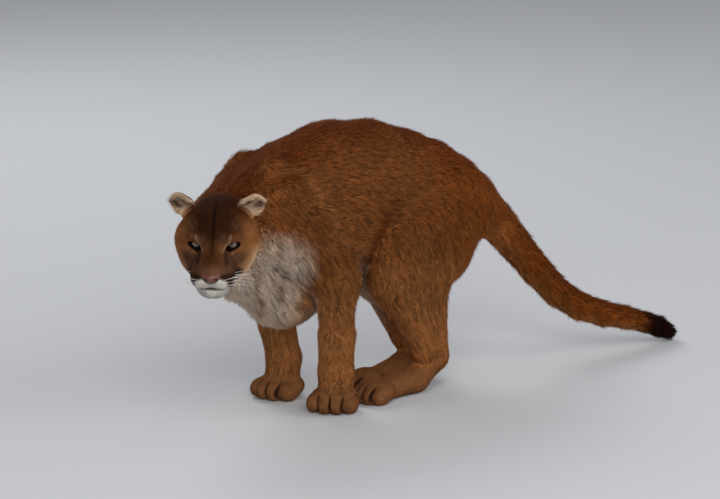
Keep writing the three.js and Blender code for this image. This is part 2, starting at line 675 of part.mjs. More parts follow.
// A block of space in a frame, and the same block grown by the gap.
const region = (size, centre, turn, frame) => [
  block(size, centre, turn, frame),
  block(size.map((v) => v + 2 * GAP), centre, turn, frame),
];

// Head and neck meet behind the ears, and under the jaw.
const NAPE = -112; // along the head's own X
const JAW = -104; // along its Z
const [headBlock, headGrown] = region([400, 214, 260], [NAPE + 200, 0, JAW + 130], [0, 0, 0], head);
let rest = body.subtract(headGrown);
let skull = headSolid.intersect(headBlock);

// The ears are cut at their roots.
[-1, 1].forEach((s, i) => {
  const [earBlock, earGrown] = region([44, 66, 62], [4, 0, 7 + 31], [0, 0, 0], earFrames[i]);
  keep(s > 0 ? "ear_left" : "ear_right", skull.intersect(earBlock), PALE);
  skull = skull.subtract(earGrown);
});

// Nose leather, at the end of the muzzle.
const [noseBlock, noseGrown] = region([30, 37, 25], [64 + 15, 0, -44], [0, -20, 0], head);
keep("nose", skull.intersect(noseBlock), NOSE);
skull = skull.subtract(noseGrown);

// Eyes.
for (const s of [-1, 1]) {
  keep(s > 0 ? "eye_left" : "eye_right", eyeball(s), EYE, 0);
  skull = skull.subtract(eyeball(s, SOCKET_GAP));
}
keep("head", skull, COAT, FINEST);

// The tail in four lengths, cut square to its middle line.
const tailCut = (i, t) => {
  const [from, to] = [TAIL[i][0], TAIL[i + 1][0]];
  return [between(from, to, t), to.map((v, axis) => v - from[axis])];
};
const [tailRoot, rootNormal] = tailCut(0, 0.15);
const rootTurn = new THREE.Quaternion().setFromUnitVectors(point(0, 0, 1), point(...rootNormal).normalize());
const rootFrame = new THREE.Matrix4().compose(point(...tailRoot), rootTurn, point(1, 1, 1));
const [tailBlock, tailGrown] = region([440, 440, 620], [0, 0, 310], [0, 0, 0], rootFrame);
let trailing = rest.intersect(tailBlock);
rest = rest.subtract(tailGrown);
[[2, 0.2], [5, 0], [7, 0.5]].forEach(([i, t], n) => {
  const [centre, normal] = tailCut(i, t);
  keep(`tail_${n + 1}`, trailing.subtract(halfSpace(centre, normal, -GAP)), COAT);
  trailing = trailing.intersect(halfSpace(centre, normal));
});
keep("tail_tip", trailing, DARK);

// The legs below the trunk, each told from the others by the foot that it ends in.
const LEG_CUT = 158;
const legs = rest.subtract(halfSpace([0, 0, LEG_CUT], [0, 0, 1], -GAP)).decompose();
rest = rest.intersect(halfSpace([0, 0, LEG_CUT], [0, 0, 1]));
const LEGS = { fore_left: FORE_LEFT, fore_right: FORE_RIGHT, hind_left: HIND_LEFT, hind_right: HIND_RIGHT };
for (const [name, { wrist, ankle, foot }] of Object.entries(LEGS)) {
  const middle = between(foot, ankle ?? wrist, 0.5);
  const far = (leg) => {
    const { min, max } = leg.boundingBox();
    return Math.hypot((min[0] + max[0]) / 2 - middle[0], (min[1] + max[1]) / 2 - middle[1]);
  };
  const leg = legs.filter((piece) => piece.boundingBox().min[2] < 1).sort((a, b) => far(a) - far(b))[0];
  const hock = ankle && { centre: [ankle[0] - 14, ankle[1], 66], normal: [-0.35, 0, -1] };
  const { centre, normal } = hock ?? { centre: [wrist[0], wrist[1], 60], normal: [0, 0, -1] };
  keep(`${name}_lower`, leg.subtract(halfSpace(centre, normal, -GAP)), COAT);
  keep(`${name}_paw`, leg.intersect(halfSpace(centre, normal)), COAT);
}

// The shoulders and thighs, parted from the trunk by cuts that lean in towards the floor.
const UPPERS = [
  { name: "fore_left_upper", side: LEFT, along: [-178, 92], top: 470, lean: 9, out: 40 },
  { name: "fore_right_upper", side: RIGHT, along: [-178, 92], top: 470, lean: 9, out: 40 },
  { name: "hind_left_upper", side: LEFT, along: [86, 500], top: 440, lean: 8, out: 44 },
  { name: "hind_right_upper", side: RIGHT, along: [120, 500], top: 440, lean: 8, out: 30 },
];
for (const { name, side, along, top, lean, out } of UPPERS) {
  const size = [along[1] - along[0], 300, (top - LEG_CUT) * 2];
  const centre = [(along[0] + along[1]) / 2, side * (out + 150), LEG_CUT];
  const [limbBlock, limbGrown] = region(size, centre, [side * lean, 0, 0]);
  keep(name, rest.intersect(limbBlock), COAT);
  rest = rest.subtract(limbGrown);
}

// The trunk in four lengths.
const LENGTHS = [
  { name: "neck", centre: [-205, 10, 420], normal: [1, -0.2, 0.1] },
  { name: "chest", centre: [60, 0, 400], normal: [1, 0, 0] },
  { name: "belly", centre: [262, 0, 400], normal: [1, 0, -0.2] },
];
for (const { name, centre, normal } of LENGTHS) {
  keep(name, rest.subtract(halfSpace(centre, normal, -GAP)), COAT);
  rest = rest.intersect(halfSpace(centre, normal));
}
keep("rump", rest, COAT);

// The origin is the middle of the footprint, on the floor.
const footprint = new THREE.Box3().setFromObject(group);
const middle = footprint.getCenter(point(0, 0, 0));
group.position.set(-middle.x, -middle.y, -footprint.min.z);
export default group;
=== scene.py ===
"""A cougar in winter coat: one skin over the frame's flesh, and short fur as solid tufts over it."""

import json
import math

import bpy
import numpy as np
from mathutils import Matrix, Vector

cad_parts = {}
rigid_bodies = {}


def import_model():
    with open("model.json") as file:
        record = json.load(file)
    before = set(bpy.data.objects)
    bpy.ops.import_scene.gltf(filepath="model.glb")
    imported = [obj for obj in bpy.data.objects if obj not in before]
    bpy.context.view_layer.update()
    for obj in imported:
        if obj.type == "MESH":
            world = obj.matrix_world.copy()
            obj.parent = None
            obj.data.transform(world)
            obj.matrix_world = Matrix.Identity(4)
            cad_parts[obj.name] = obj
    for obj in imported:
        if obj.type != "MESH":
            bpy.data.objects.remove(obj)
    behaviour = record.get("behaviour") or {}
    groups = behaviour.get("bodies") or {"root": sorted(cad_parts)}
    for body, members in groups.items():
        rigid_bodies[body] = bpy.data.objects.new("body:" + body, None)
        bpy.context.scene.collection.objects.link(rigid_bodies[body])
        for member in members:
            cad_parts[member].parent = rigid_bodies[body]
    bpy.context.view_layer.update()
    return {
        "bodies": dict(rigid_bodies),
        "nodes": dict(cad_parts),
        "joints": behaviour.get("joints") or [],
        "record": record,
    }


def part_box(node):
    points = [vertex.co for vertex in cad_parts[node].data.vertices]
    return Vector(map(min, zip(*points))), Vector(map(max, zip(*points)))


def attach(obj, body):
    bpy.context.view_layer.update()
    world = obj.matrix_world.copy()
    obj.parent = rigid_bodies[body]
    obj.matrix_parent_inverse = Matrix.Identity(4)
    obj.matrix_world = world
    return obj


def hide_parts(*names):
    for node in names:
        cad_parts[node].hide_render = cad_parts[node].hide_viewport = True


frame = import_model()
rng = np.random.default_rng(11)

# Sizes in mm, in the frame that the solids were built in: -X ahead, -Y the animal's left, +Z up.
SIDES = (-1, 1)
EYE_RADIUS = 14.5
EYE_SPACING = 74
EYE_SETBACK = 15
EYE_OPENING = (14.5, 6.2)
EYE_TILT = 20
EAR_ROOT = (-60, 58, 50)
EAR_LENGTH = 50
HEAD_YAW = 42
HEAD_PITCH = 9
EYE_LINE = (-326, -88, 402)
FOREPAW = dict(length=114, width=106, height=54, toe=15)
HINDPAW = dict(length=98, width=84, height=50, toe=12.5)


def vec(*v):
    return np.array(v, float)


def dot(a, b):
    return np.einsum("ij,ij->i", a, b)


def unit(v):
    return v / np.maximum(np.linalg.norm(v, axis=-1, keepdims=True), 1e-9)


def turn(axis, degrees):
    c, s = math.cos(math.radians(degrees)), math.sin(math.radians(degrees))
    m = np.eye(4)
    i, j = [(1, 2), (2, 0), (0, 1)][axis]
    m[i, i] = m[j, j] = c
    m[i, j], m[j, i] = -s, s
    return m


def at(centre, m=None):
    m = np.eye(4) if m is None else m.copy()
    m[:3, 3] = centre
    return m


WORLD = np.eye(4)
HEAD = at(EYE_LINE, turn(2, 180 + HEAD_YAW) @ turn(1, HEAD_PITCH))
HEAD_BACK = np.linalg.inv(HEAD)


def into(m, p):
    return np.asarray(p, float) @ m[:3, :3].T + m[:3, 3]


# Distance fields of single shapes.
def limb(a, b, ra, rb, blend=18.0, frame=WORLD, along=None, flat=1.0, lie=None):
    """A tapered round limb from a to b, thinned along a direction by `flat`."""
    start, end = into(frame, a), into(frame, b)
    axis = end - start
    l2 = float(axis @ axis)
    rr = ra - rb
    a2 = l2 - rr * rr
    thin = frame[:3, :3] @ vec(*along) if along is not None else np.zeros(3)

    def value(p):
        p = p - start
        if flat != 1:
            p = p + np.outer((p @ thin) * (1 / flat - 1), thin)
        h = p @ axis
        k = h - l2
        q = p * l2 - np.outer(h, axis)
        x2 = dot(q, q)
        y2, z2 = h * h * l2, k * k * l2
        edge = np.sign(rr) * rr * rr * x2
        d = (np.sqrt(x2 * a2 / l2) + h * rr) / l2 - ra
        low = np.sign(h) * a2 * y2 < edge
        d[low] = np.sqrt(x2[low] + y2[low]) / l2 - ra
        high = np.sign(k) * a2 * z2 > edge
        d[high] = np.sqrt(x2[high] + z2[high]) / l2 - rb
        return d * flat

    return dict(
        value=value, blend=blend, middle=(start + end) / 2, reach=math.sqrt(l2) / 2 + max(ra, rb),
        lie=unit(axis) if lie is None else unit(vec(*lie)), carved=False,
    )


def mass(centre, radii, blend=30.0, frame=WORLD, tilt=(0, 0, 0), lie=None):
    """An egg-shaped mass."""
    placed = frame @ at(centre, turn(0, tilt[0]) @ turn(1, tilt[1]) @ turn(2, tilt[2]))
    back = np.linalg.inv(placed)
    r = vec(*radii)

    def value(p):
        q = into(back, p) / r
        k0 = np.linalg.norm(q, axis=1)
        k1 = np.maximum(np.linalg.norm(q / r, axis=1), 1e-9)
        return k0 * (k0 - 1) / k1

    return dict(
        value=value, blend=blend, middle=placed[:3, 3], reach=float(max(radii)),
        lie=None if lie is None else unit(vec(*lie)), carved=False,
    )


def hollow(shape):
    return dict(shape, carved=True)


def blended(shapes, p, start=None):
    """The smooth blend of shapes at points p, with hollow ones carved out in turn."""
    d = np.full(len(p), 1e4) if start is None else start.copy()
    for s in shapes:
        k = s["blend"]
        limit = s["reach"] + (k if s["carved"] else d + k)
        away = p - s["middle"]
        near = np.where((limit > 0) & (dot(away, away) < limit * limit))[0]
        if not len(near):
            continue
        e = s["value"](p[near])
        was = d[near]
        if s["carved"]:
            e = -e
        bulge = np.maximum(k - np.abs(was - e), 0) ** 2 / (4 * k)
        d[near] = np.maximum(was, e) + bulge if s["carved"] else np.minimum(was, e) - bulge
    return d


def between(a, b, t):
    return tuple(np.asarray(a, float) + t * (np.asarray(b, float) - np.asarray(a, float)))


def narrow(flat, blend=30.0):
    return dict(along=(0, 1, 0), flat=flat, blend=blend)


# The trunk, from the chest to the root of the tail.
BACK = [
    ((-115, 0, 396), 138, 0.68),
    ((-30, 0, 402), 176, 0.64),
    ((60, 0, 419), 182, 0.61),
    ((150, -2, 419), 175, 0.58),
    ((240, -4, 408), 158, 0.6),
    ((325, -5, 399), 133, 0.7),
    ((395, -3, 390), 103, 0.85),
    ((460, 0, 370), 76, 1.0),
    ((555, 0, 316), 46, 1.0),
]
trunk = []
for (a, ra, flat), (b, rb, _) in zip(BACK, BACK[1:]):
    trunk.append(limb(a, b, ra, rb, lie=(1, 0, -0.25), **narrow(flat, 8 if a[0] < 460 else 12)))
trunk += [
    mass((206, -14, 234), (58, 36, 46), blend=30, lie=(1, 0, -0.3)),
    limb((110, -16, 284), (212, -34, 236), 46, 50, lie=(1, 0, -0.5), **narrow(0.8, 26)),
    limb((-165, 0, 325), (-62, 0, 268), 72, 97, lie=(1, 0, -0.9), **narrow(0.84, 30)),
    limb((-214, 4, 412), (-120, 4, 424), 84, 108, lie=(1, 0, -0.5), **narrow(0.98, 30)),
    limb((-215, 0, 366), (-160, 0, 345), 58, 88, lie=(0.6, 0, -1), **narrow(0.9, 36)),
]

TAIL = [
    ((555, 0, 318), 47), ((608, -12, 258), 41), ((656, -30, 196), 38), ((702, -52, 142), 36),
    ((748, -72, 108), 34.5), ((803, -92, 86), 32), ((857, -105, 71), 29), ((913, -115, 53), 27),
    ((954, -120, 37), 26), ((980, -123, 23), 23),
]
tail = [limb(a, b, ra, rb, blend=6) for (a, ra), (b, rb) in zip(TAIL, TAIL[1:])]


PAWS = []


def paw(foot, yaw, length, width, height, toe):
    """Four toes and a palm, in a frame at the middle of the sole that points ahead along +X."""
    placed = at((foot[0], foot[1], 0), turn(2, 180 + yaw))
    PAWS.append((placed, dict(length=length, width=width, toe=toe)))
    ahead = placed[:3, 0] + vec(0, 0, -0.35)
    shapes = [mass(
        (-length * 0.05, 0, height * 0.46), (length * 0.43, width * 0.49, height * 0.56),
        blend=7, frame=placed, lie=ahead,
    )]
    for i in (-1.5, -0.5, 0.5, 1.5):
        side = i * (width / 2 - toe) / 1.5
        start = length * (0.25 - (abs(i) - 0.5) * 0.1)
        shapes.append(mass(
            (start, side, height * 0.36), (length * 0.25, toe * 1.2, height * 0.4),
            blend=6, frame=placed, lie=ahead,
        ))
    return shapes


def foreleg(scapula, shoulder, elbow, wrist, foot, yaw):
    upper = between(scapula, shoulder, 0.48)
    low = between(elbow, wrist, 0.6)
    over = [*between(wrist, (*foot, 0), 0.4)[:2], 36]
    return [
        limb(scapula, shoulder, 40, 68, lie=(0.9, 0, -0.6), **narrow(0.56, 26)),
        limb((upper[0] + 11, upper[1], upper[2] - 6), between(elbow, shoulder, 0.05), 70, 50,
             lie=(0.7, 0, -0.9), **narrow(0.64, 7)),
        limb(shoulder, elbow, 64, 52, lie=(0.5, 0, -1), **narrow(0.72, 14)),
        limb(elbow, low, 47, 42, **narrow(0.88)),
        limb(low, wrist, 42, 39, blend=8),
        limb(wrist, over, 40, 38, blend=10),
        *paw(foot, yaw, **FOREPAW),
    ]


def hindleg(hip, seat, fold, knee, calf, ankle, heel, ball, foot, yaw):
    ham = between(seat, calf, 0.6)
    thigh = between(hip, knee, 0.5)
    return [
        limb(hip, thigh, 104, 90, lie=(0.5, 0, -1), **narrow(0.66, 16)),
        limb(between(fold, hip, 0.68), fold, 90, 74, lie=(0.3, 0, -1), **narrow(0.62, 9)),
        limb(fold, knee, 74, 60, lie=(0.3, 0, -1), **narrow(0.62, 9)),
        limb(thigh, knee, 90, 60, lie=(0.4, 0, -1), **narrow(0.64)),
        limb(seat, ham, 66, 66, lie=(0.3, 0, -1), **narrow(0.66)),
        limb(ham, calf, 66, 50, **narrow(0.66)),
        limb(knee, ankle, 56, 40, **narrow(0.74, 24)),
        limb(calf, (heel[0] + 2, heel[1], heel[2] + 26), 48, 27, **narrow(0.72, 24)),
        limb(ankle, heel, 40, 30, **narrow(0.8, 14)),
        limb(heel, ball, 30, 29, blend=12),
        limb(ball, (foot[0] + 20, foot[1], 22), 29, 24, blend=10),
        *paw(foot, yaw, **HINDPAW),
    ]


LIMBS = [
    foreleg((-140, -58, 526), (-152, -94, 400), (4, -96, 278), (8, -86, 86), (7, -81), 36),
    foreleg((-126, 57, 515), (-142, 94, 400), (-16, 104, 272), (18, 88, 82), (2, 84), 12),
    hindleg((345, -52, 388), (428, -50, 362), (178, -90, 314), (170, -103, 260), (266, -102, 248),
            (264, -89, 98), (294, -88, 72), (236, -87, 31), (121, -87), 6),
    hindleg((345, 52, 388), (432, 50, 362), (232, 82, 316), (244, 74, 280), (326, 62, 248),
            (324, 26, 98), (354, 24, 72), (292, 16, 31), (168, -2), -4),
]

# The skull with its muzzle, cheeks, jaw and brows, in the head's frame.
H = dict(frame=HEAD)
face = [
    mass((-68, 0, 8), (78, 68, 70), blend=30, **H),
    mass((-30, 0, 18), (42, 48, 38), blend=24, **H),
    limb((-14, 0, 8), (54, 0, -33), 26, 20, blend=14, **H),
    mass((36, 0, -85), (27, 22, 14), blend=10, **H),
]
for s in SIDES:
    face += [
        mass((44, s * 20, -54), (30, 24, 22), blend=16, **H),
        mass((12, s * 22, -35), (42, 23, 24), blend=20, **H),
        limb((-50, s * 28, -52), (26, s * 15, -78), 34, 20, blend=18, **H),
        mass((-52, s * 50, -7), (48, 39, 43), blend=24, **H),
        mass((-24, s * 50, -16), (28, 24, 22), blend=18, **H),
        mass((-32, s * 43, -42), (34, 28, 28), blend=24, **H),
        mass((-5, s * 35, 18), (17, 22, 9), blend=10, tilt=(s * 12, 0, 0), **H),
    ]
nose_pad = mass((64, 0, -45), (16, 17, 12), blend=6, **H)


def on_face(centre, bearing):
    """The point of the face seen from a centre, in a direction so many degrees left of ahead."""
    step = vec(math.cos(math.radians(bearing)), math.sin(math.radians(bearing)), 0)
    reach = np.arange(120.0, 0.0, -0.5)
    line = np.asarray(centre, float) + reach[:, None] * step
    inside = blended(face + [nose_pad], into(HEAD, line)) <= 0
    return tuple(line[np.argmax(inside)])


BEARINGS = (-86, -68, -50, -33, -16, 0, 16, 33, 50, 68, 86)
mouth = [on_face((18, 0, -72 + 7 * abs(b / 86) ** 2 - 2), b) for b in BEARINGS]
cleft = [on_face((20, 0, -57), 0), on_face((20, 0, -65), 0), mouth[5]]


def carve(line, r):
    return [hollow(limb(a, b, r, r, blend=2.5, **H)) for a, b in zip(line, line[1:])]


nostrils = [
    hollow(mass(on_face((40, 0, -47), s * 17), (4, 4.6, 3.0), blend=1.5, **H)) for s in SIDES
]
lids = []
for s in SIDES:
    across = s * EYE_SPACING / 2
    lids.append(mass((-EYE_SETBACK, across, 0), (19.5, 20, 19), blend=8, **H))
    slot = mass((2, across, -1), (26, *EYE_OPENING), blend=2, tilt=(s * EYE_TILT, 0, 0), **H)
    lids.append(hollow(slot))
detail = [nose_pad, *carve(mouth, 2.4), *carve(cleft, 1.8), *nostrils, *lids]

# Ears: rounded cups, each in a frame at the middle of its root, +Z to the tip and +X out of the cup.
EARS = []
for s in SIDES:
    tip = unit(vec(-0.12, s * 0.72, 0.68))
    out = vec(0.82, s * 0.4, -0.1)
    out = unit(out - tip * (out @ tip))
    local = np.eye(4)
    local[:3, :3] = np.stack([out, np.cross(tip, out), tip], axis=1)
    local[:3, 3] = (EAR_ROOT[0], s * EAR_ROOT[1], EAR_ROOT[2])
    EARS.append(HEAD @ local)
CUP = dict(along=(1, 0, 0), flat=0.55)
ears = []
for e in EARS:
    ears.append(limb((0, 0, -2), (-3, 0, EAR_LENGTH - 25), 30, 22, blend=10, frame=e, **CUP))
    cup = limb((13, 0, 9), (10, 0, EAR_LENGTH - 25), 23, 16, blend=3, frame=e, along=(1, 0, 0), flat=0.8)
    ears.append(hollow(cup))
skull_core = mass((-80, 0, 10), (60, 66, 66), frame=HEAD)


def in_ears(p):
    """Each ear's side and frame, and the points p in that frame."""
    return [(s, e, into(np.linalg.inv(e), p)) for s, e in zip(SIDES, EARS)]


def body(p):
    """The whole animal out to the tips of its coat: negative inside."""
    torso = blended(trunk + tail + face + detail, p)
    d = torso
    for shapes in LIMBS:
        d = np.minimum(d, blended(shapes, p, torso))
    q = into(HEAD_BACK, p)
    near = np.where((np.abs(q[:, 0] + 60) < 120) & (np.abs(q[:, 1]) < 150) & (q[:, 2] > -60))[0]
    if len(near):
        d = d.copy()
        d[near] = np.minimum(d[near], blended([skull_core, *ears], p[near]))
    return d


def smooth(x, low, high):
    t = np.clip((x - low) / (high - low), 0, 1)
    return t * t * (3 - 2 * t)


def band(x, full, none):
    """1 near zero and 0 far from it, fading between two distances."""
    return smooth(-np.abs(x), -none, -full)


def regions(p):
    """Soft weights of the animal's regions at points p."""
    q = into(HEAD_BACK, p)
    x, _, z = p.T
    head = smooth(q[:, 0], -125, -75) * band(q[:, 1], 105, 125)
    head *= smooth(q[:, 2], -125, -95) * smooth(-x, 200, 235)
    muzzle = head * smooth(q[:, 0], 8, 40)
    eye = np.zeros(len(p))
    for s in SIDES:
        away = np.linalg.norm((q - vec(0, s * 38, 0)) / vec(1.6, 1.2, 1.0), axis=1)
        eye = np.maximum(eye, smooth(-away, -34, -14))
    ear = np.zeros(len(p))
    for _, _, local in in_ears(p):
        deep, wide, high = local.T
        here = smooth(high, 2, 14) * smooth(-high, -62, -56) * band(wide, 30, 36)
        here *= band(deep, 19, 24)
        ear = np.maximum(ear, here)
    leg = smooth(-z, -235, -150) * smooth(-x, -520, -420)
    foot = smooth(-z, -72, -40) * smooth(-x, -430, -400)
    tail_part = smooth(x, 520, 600)
    chest = smooth(-x, 60, 130) * smooth(-z, -380, -320) * (1 - leg) * (1 - head)
    return dict(
        q=q, head=head, muzzle=muzzle, eye=eye, ear=ear, leg=leg, foot=foot, tail=tail_part, chest=chest,
    )


# How far the skin lies inside the coat's tips, in mm, on each region in turn.
TRUNK_DEPTH = 7.5
DEPTHS = dict(leg=4.5, foot=2.0, head=3.2, muzzle=1.4, eye=0.5, ear=1.0)


def coat_depth(p):
    r = regions(p)
    depth = TRUNK_DEPTH + 3.5 * r["chest"]
    for name, value in DEPTHS.items():
        depth = depth * (1 - r[name]) + value * r[name]
    return depth


def skin_field(p):
    return body(p) + coat_depth(p)


def in_chunks(field, p, size=400000):
    if not len(p):
        return np.zeros(0)
    return np.concatenate([field(p[i:i + size]) for i in range(0, len(p), size)])


def gradient(field, p, h):
    steps = np.eye(3) * h
    return np.stack([(in_chunks(field, p + e) - in_chunks(field, p - e)) / (2 * h) for e in steps], axis=1)


def fourfold(a):
    """Each value of a grid repeated four times along each way."""
    return a.repeat(4, 0).repeat(4, 1).repeat(4, 2)


def surface(field, low, high, cell):
    """The closed surface of a field in a box, as points and quads, from a grid of cubes."""
    low = np.asarray(low, float)
    blocks = np.ceil((np.asarray(high, float) - low) / (4 * cell)).astype(int)
    n = blocks * 4 + 1
    centre = low + (np.stack(np.meshgrid(*map(np.arange, blocks), indexing="ij"), -1) + 0.5) * 4 * cell
    coarse = in_chunks(field, centre.reshape(-1, 3)).reshape(blocks)
    wanted = np.abs(coarse) < 4 * cell * 1.45 + 4
    value = np.pad(fourfold(coarse), [(0, 1)] * 3, mode="edge")
    flag = np.zeros(n, bool)
    spread = fourfold(wanted)
    for i, j, k in np.ndindex(2, 2, 2):
        flag[i:i + n[0] - 1, j:j + n[1] - 1, k:k + n[2] - 1] |= spread
    found = np.argwhere(flag)
    value[flag] = in_chunks(field, low + found * cell)
    inside = value < 0
    cells = n - 1
    count = np.zeros(np.prod(cells))
    total = np.zeros((3, np.prod(cells)))
    rings = []
    for axis in range(3):
        start = np.argwhere(np.diff(inside, axis=axis))
        u, v = (axis + 1) % 3, (axis + 2) % 3
        keep = (start[:, u] > 0) & (start[:, v] > 0) & (start[:, u] < cells[u]) & (start[:, v] < cells[v])
        start = start[keep]
        end = start.copy()
        end[:, axis] += 1
        va, vb = value[tuple(start.T)], value[tuple(end.T)]
        place = start.astype(float)
        place[:, axis] += va / (va - vb)
        ring = []
        for step in ((-1, -1), (0, -1), (0, 0), (-1, 0)):
            c = start.copy()
            c[:, [u, v]] += step
            index = np.ravel_multi_index(c.T, cells)
            np.add.at(count, index, 1)
            for i in range(3):
                np.add.at(total[i], index, place[:, i])
            ring.append(index)
        ring = np.stack(ring, 1)
        outward = va < 0
        ring[~outward] = ring[~outward][:, ::-1]
        rings.append(ring)
    used = np.where(count > 0)[0]
    number = np.full(len(count), -1)
    number[used] = np.arange(len(used))
    p = low + (total[:, used] / count[used]).T * cell
    return p, number[np.concatenate(rings)]


def settle(field, p, cell, rounds=2):
    """The points moved on to the field's surface, none by more than half a cell."""
    start = p.copy()
    for _ in range(rounds):
        d = in_chunks(field, p)
        g = gradient(field, p, cell / 8)
        step = -(d / np.maximum(dot(g, g), 0.05))[:, None] * g
        p = np.clip(p + step, start - cell / 2, start + cell / 2)
    return p


SKIN_ABOVE_FLOOR = 0.6
HAIR_ABOVE_FLOOR = 0.8
# The skin's patches, whose grids are finer on the head and the feet. Neighbours lap a little.
LAP = 3
HEAD_ZONE = (vec(-430, -215, 283), vec(-222, 40, 530))
FOOT_ZONE = (vec(-80, -160, -12), vec(1010, 170, 64))
PATCHES = [
    (vec(-440, -216, -20), vec(1020, 190, 640), 6.6),
    (*HEAD_ZONE, 2.0),
    (*FOOT_ZONE, 3.2),
]


def within(p, zone, shrink=0.0):
    return np.all((p > zone[0] + shrink) & (p < zone[1] - shrink), axis=1)


def make_skin():
    """The skin's points and quads, all patches together."""
    points, quads, base = [], [], 0
    for i, (low, high, cell) in enumerate(PATCHES):
        margin = 2 * cell if i else 0
        p, q = surface(skin_field, low - margin, high + margin, cell)
        middle = p[q].mean(axis=1)
        if i == 0:
            keep = ~within(middle, HEAD_ZONE, LAP) & ~within(middle, FOOT_ZONE, LAP)
        else:
            keep = within(middle, (low, high), -1)
        q = q[keep]
        used, q = np.unique(q, return_inverse=True)
        q = q.reshape(-1, 4)
        p = settle(skin_field, p[used], cell)
        points.append(p)
        quads.append(q + base)
        base += len(p)
    p = np.concatenate(points)
    p[:, 2] = np.maximum(p[:, 2], SKIN_ABOVE_FLOOR)
    return p, np.concatenate(quads)


skin_p, skin_q = make_skin()
skin_n = unit(gradient(skin_field, skin_p, 1.5))


def lie_of(p, n):
    """The lie of the coat: the way the hair points, at any place on the skin."""
    flow = np.zeros_like(p)
    for s in sum([trunk, tail, *LIMBS], []):
        away = p - s["middle"]
        near = np.where(dot(away, away) < (s["reach"] + 60) ** 2)[0]
        if len(near):
            weight = np.exp(-np.maximum(s["value"](p[near]) + 8, 0) / 9)
            flow[near] += weight[:, None] * s["lie"]
    flow = unit(flow + vec(0.02, 0, -0.01))
    # On the head the hair runs back from the nose.
    r = regions(p)
    q = r["q"]
    face_flow = q - vec(92, 0, -34)
    face_flow[:, 2] += 10
    face_flow = unit(face_flow) @ HEAD[:3, :3].T
    w = r["head"][:, None]
    flow = flow * (1 - w) + face_flow * w
    # On the ears it runs to the tip, and outwards inside the cup.
    for side, e, local in in_ears(p):
        deep, wide, high = local.T
        here = smooth(high, -2, 12) * (high < 60) * (np.abs(wide) < 36)
        here = (here * (np.abs(deep) < 22))[:, None]
        front = smooth(n @ e[:3, 0], 0.3, 0.7) * smooth(-side * wide, -16, -2)
        outward = np.stack([np.full(len(p), -0.1), wide / 60 + 0.8 * side * front, np.ones(len(p))], 1)
        flow = flow * (1 - here) + (unit(outward) @ e[:3, :3].T) * here
    flow = flow - n * dot(flow, n)[:, None]
    return unit(flow)


def wave(p, size, seed):
    """A smooth, repeatable ripple of about one size, between -1 and 1."""
    g = np.random.default_rng(seed)
    total = np.zeros(len(p))
    for _ in range(5):
        direction = unit(g.normal(size=3))
        total += np.sin(p @ direction * (2 * math.pi / size) * g.uniform(0.7, 1.4) + g.uniform(0, 6.28))
    return total / 3.0


def streaks(p, t, size, seed):
    """A ripple drawn out along the lie t of the hair, between about -1 and 1."""
    g = np.random.default_rng(seed)
    total = np.zeros(len(p))
    for _ in range(14):
        direction = unit(g.normal(size=3))
        phase = p @ direction * (2 * math.pi / size) * g.uniform(0.6, 1.5) + g.uniform(0, 6.28)
        total += (1 - np.abs(t @ direction)) ** 2 * np.sin(phase)
    return total / 2.0


def linear(rgb):
    """A colour of 0 to 255 a channel as linear light."""
    c = np.asarray(rgb, float) / 255
    return np.where(c <= 0.04045, c / 12.92, ((c + 0.055) / 1.055) ** 2.4)


RUST = linear((139, 83, 43))
SPINE = linear((100, 44, 12))
GINGER = linear((150, 80, 26))
TAN = linear((176, 116, 66))
FAWN = linear((120, 76, 46))
CREAM = linear((232, 202, 170))
CHEST_CREAM = linear((252, 228, 204)) * 1.1
JAW_TAN = linear((190, 144, 102))
WHITE = linear((236, 232, 224))
MUZZLE_WHITE = linear((226, 220, 208))
GREYISH = linear((98, 66, 50))
UMBER = linear((66, 34, 13))
DUSK = linear((50, 29, 20))
EAR_DUSK = linear((84, 46, 36))
BLACKISH = linear((26, 13, 8))
TAIL_BLACK = linear((34, 12, 6))
FOOT_BROWN = linear((136, 92, 60))
NOSE_PINK = linear((104, 56, 44))


def mix(colour, other, weight):
    """Part of the way from one colour to another, by a weight a point."""
    return colour * (1 - weight[:, None]) + other * weight[:, None]


def within_white(c):
    """Colours brought below white with their hue kept."""
    c = np.maximum(c, 0.002)
    return c * np.minimum(1, 0.93 / c.max(axis=1, keepdims=True))


def spot(x, y, rx, ry):
    """Distance from the middle of an oval spot, 1 at its edge."""
    return np.hypot(x / rx, y / ry)


def blot(x, y, rx, ry, none, full):
    """1 within an oval spot and 0 outside it, fading between two shares of its size."""
    return smooth(-spot(x, y, rx, ry), -none, -full)


def line_between(x, y, a, b):
    """Distance from the straight line between two places."""
    x, y = x - a[0], y - a[1]
    dx, dy = b[0] - a[0], b[1] - a[1]
    t = np.clip((x * dx + y * dy) / (dx * dx + dy * dy), 0, 1)
    return np.hypot(x - t * dx, y - t * dy)


# Cosine and sine of the eye opening's tilt.
TILT_ALONG, TILT_ACROSS = 0.94, 0.342


def eye_place(q, s):
    """How far outside an eye opening's edge, and the place along and across it."""
    long, high = EYE_OPENING
    across, up = (q[:, 1] - s * EYE_SPACING / 2) * s, q[:, 2] + 1
    u = across * TILT_ALONG + up * TILT_ACROSS
    w = up * TILT_ALONG - across * TILT_ACROSS
    d = np.hypot(u / long, w / high)
    return d * (d - 1) / np.maximum(np.hypot(u / long ** 2, w / high ** 2), 1e-6), u, w


# The nose leather's outline in the head's frame. It starts to narrow at its shoulder, and again at its waist.
PAD_HALF_WIDTH, PAD_TOP, PAD_SHOULDER, PAD_WAIST, PAD_FOOT = 19, -37.5, -43, -51, -60
PAD_FRONT = 57


def face_place(q):
    """How far ahead on the head, to either side, and up."""
    return q[:, 0], np.abs(q[:, 1]), q[:, 2]


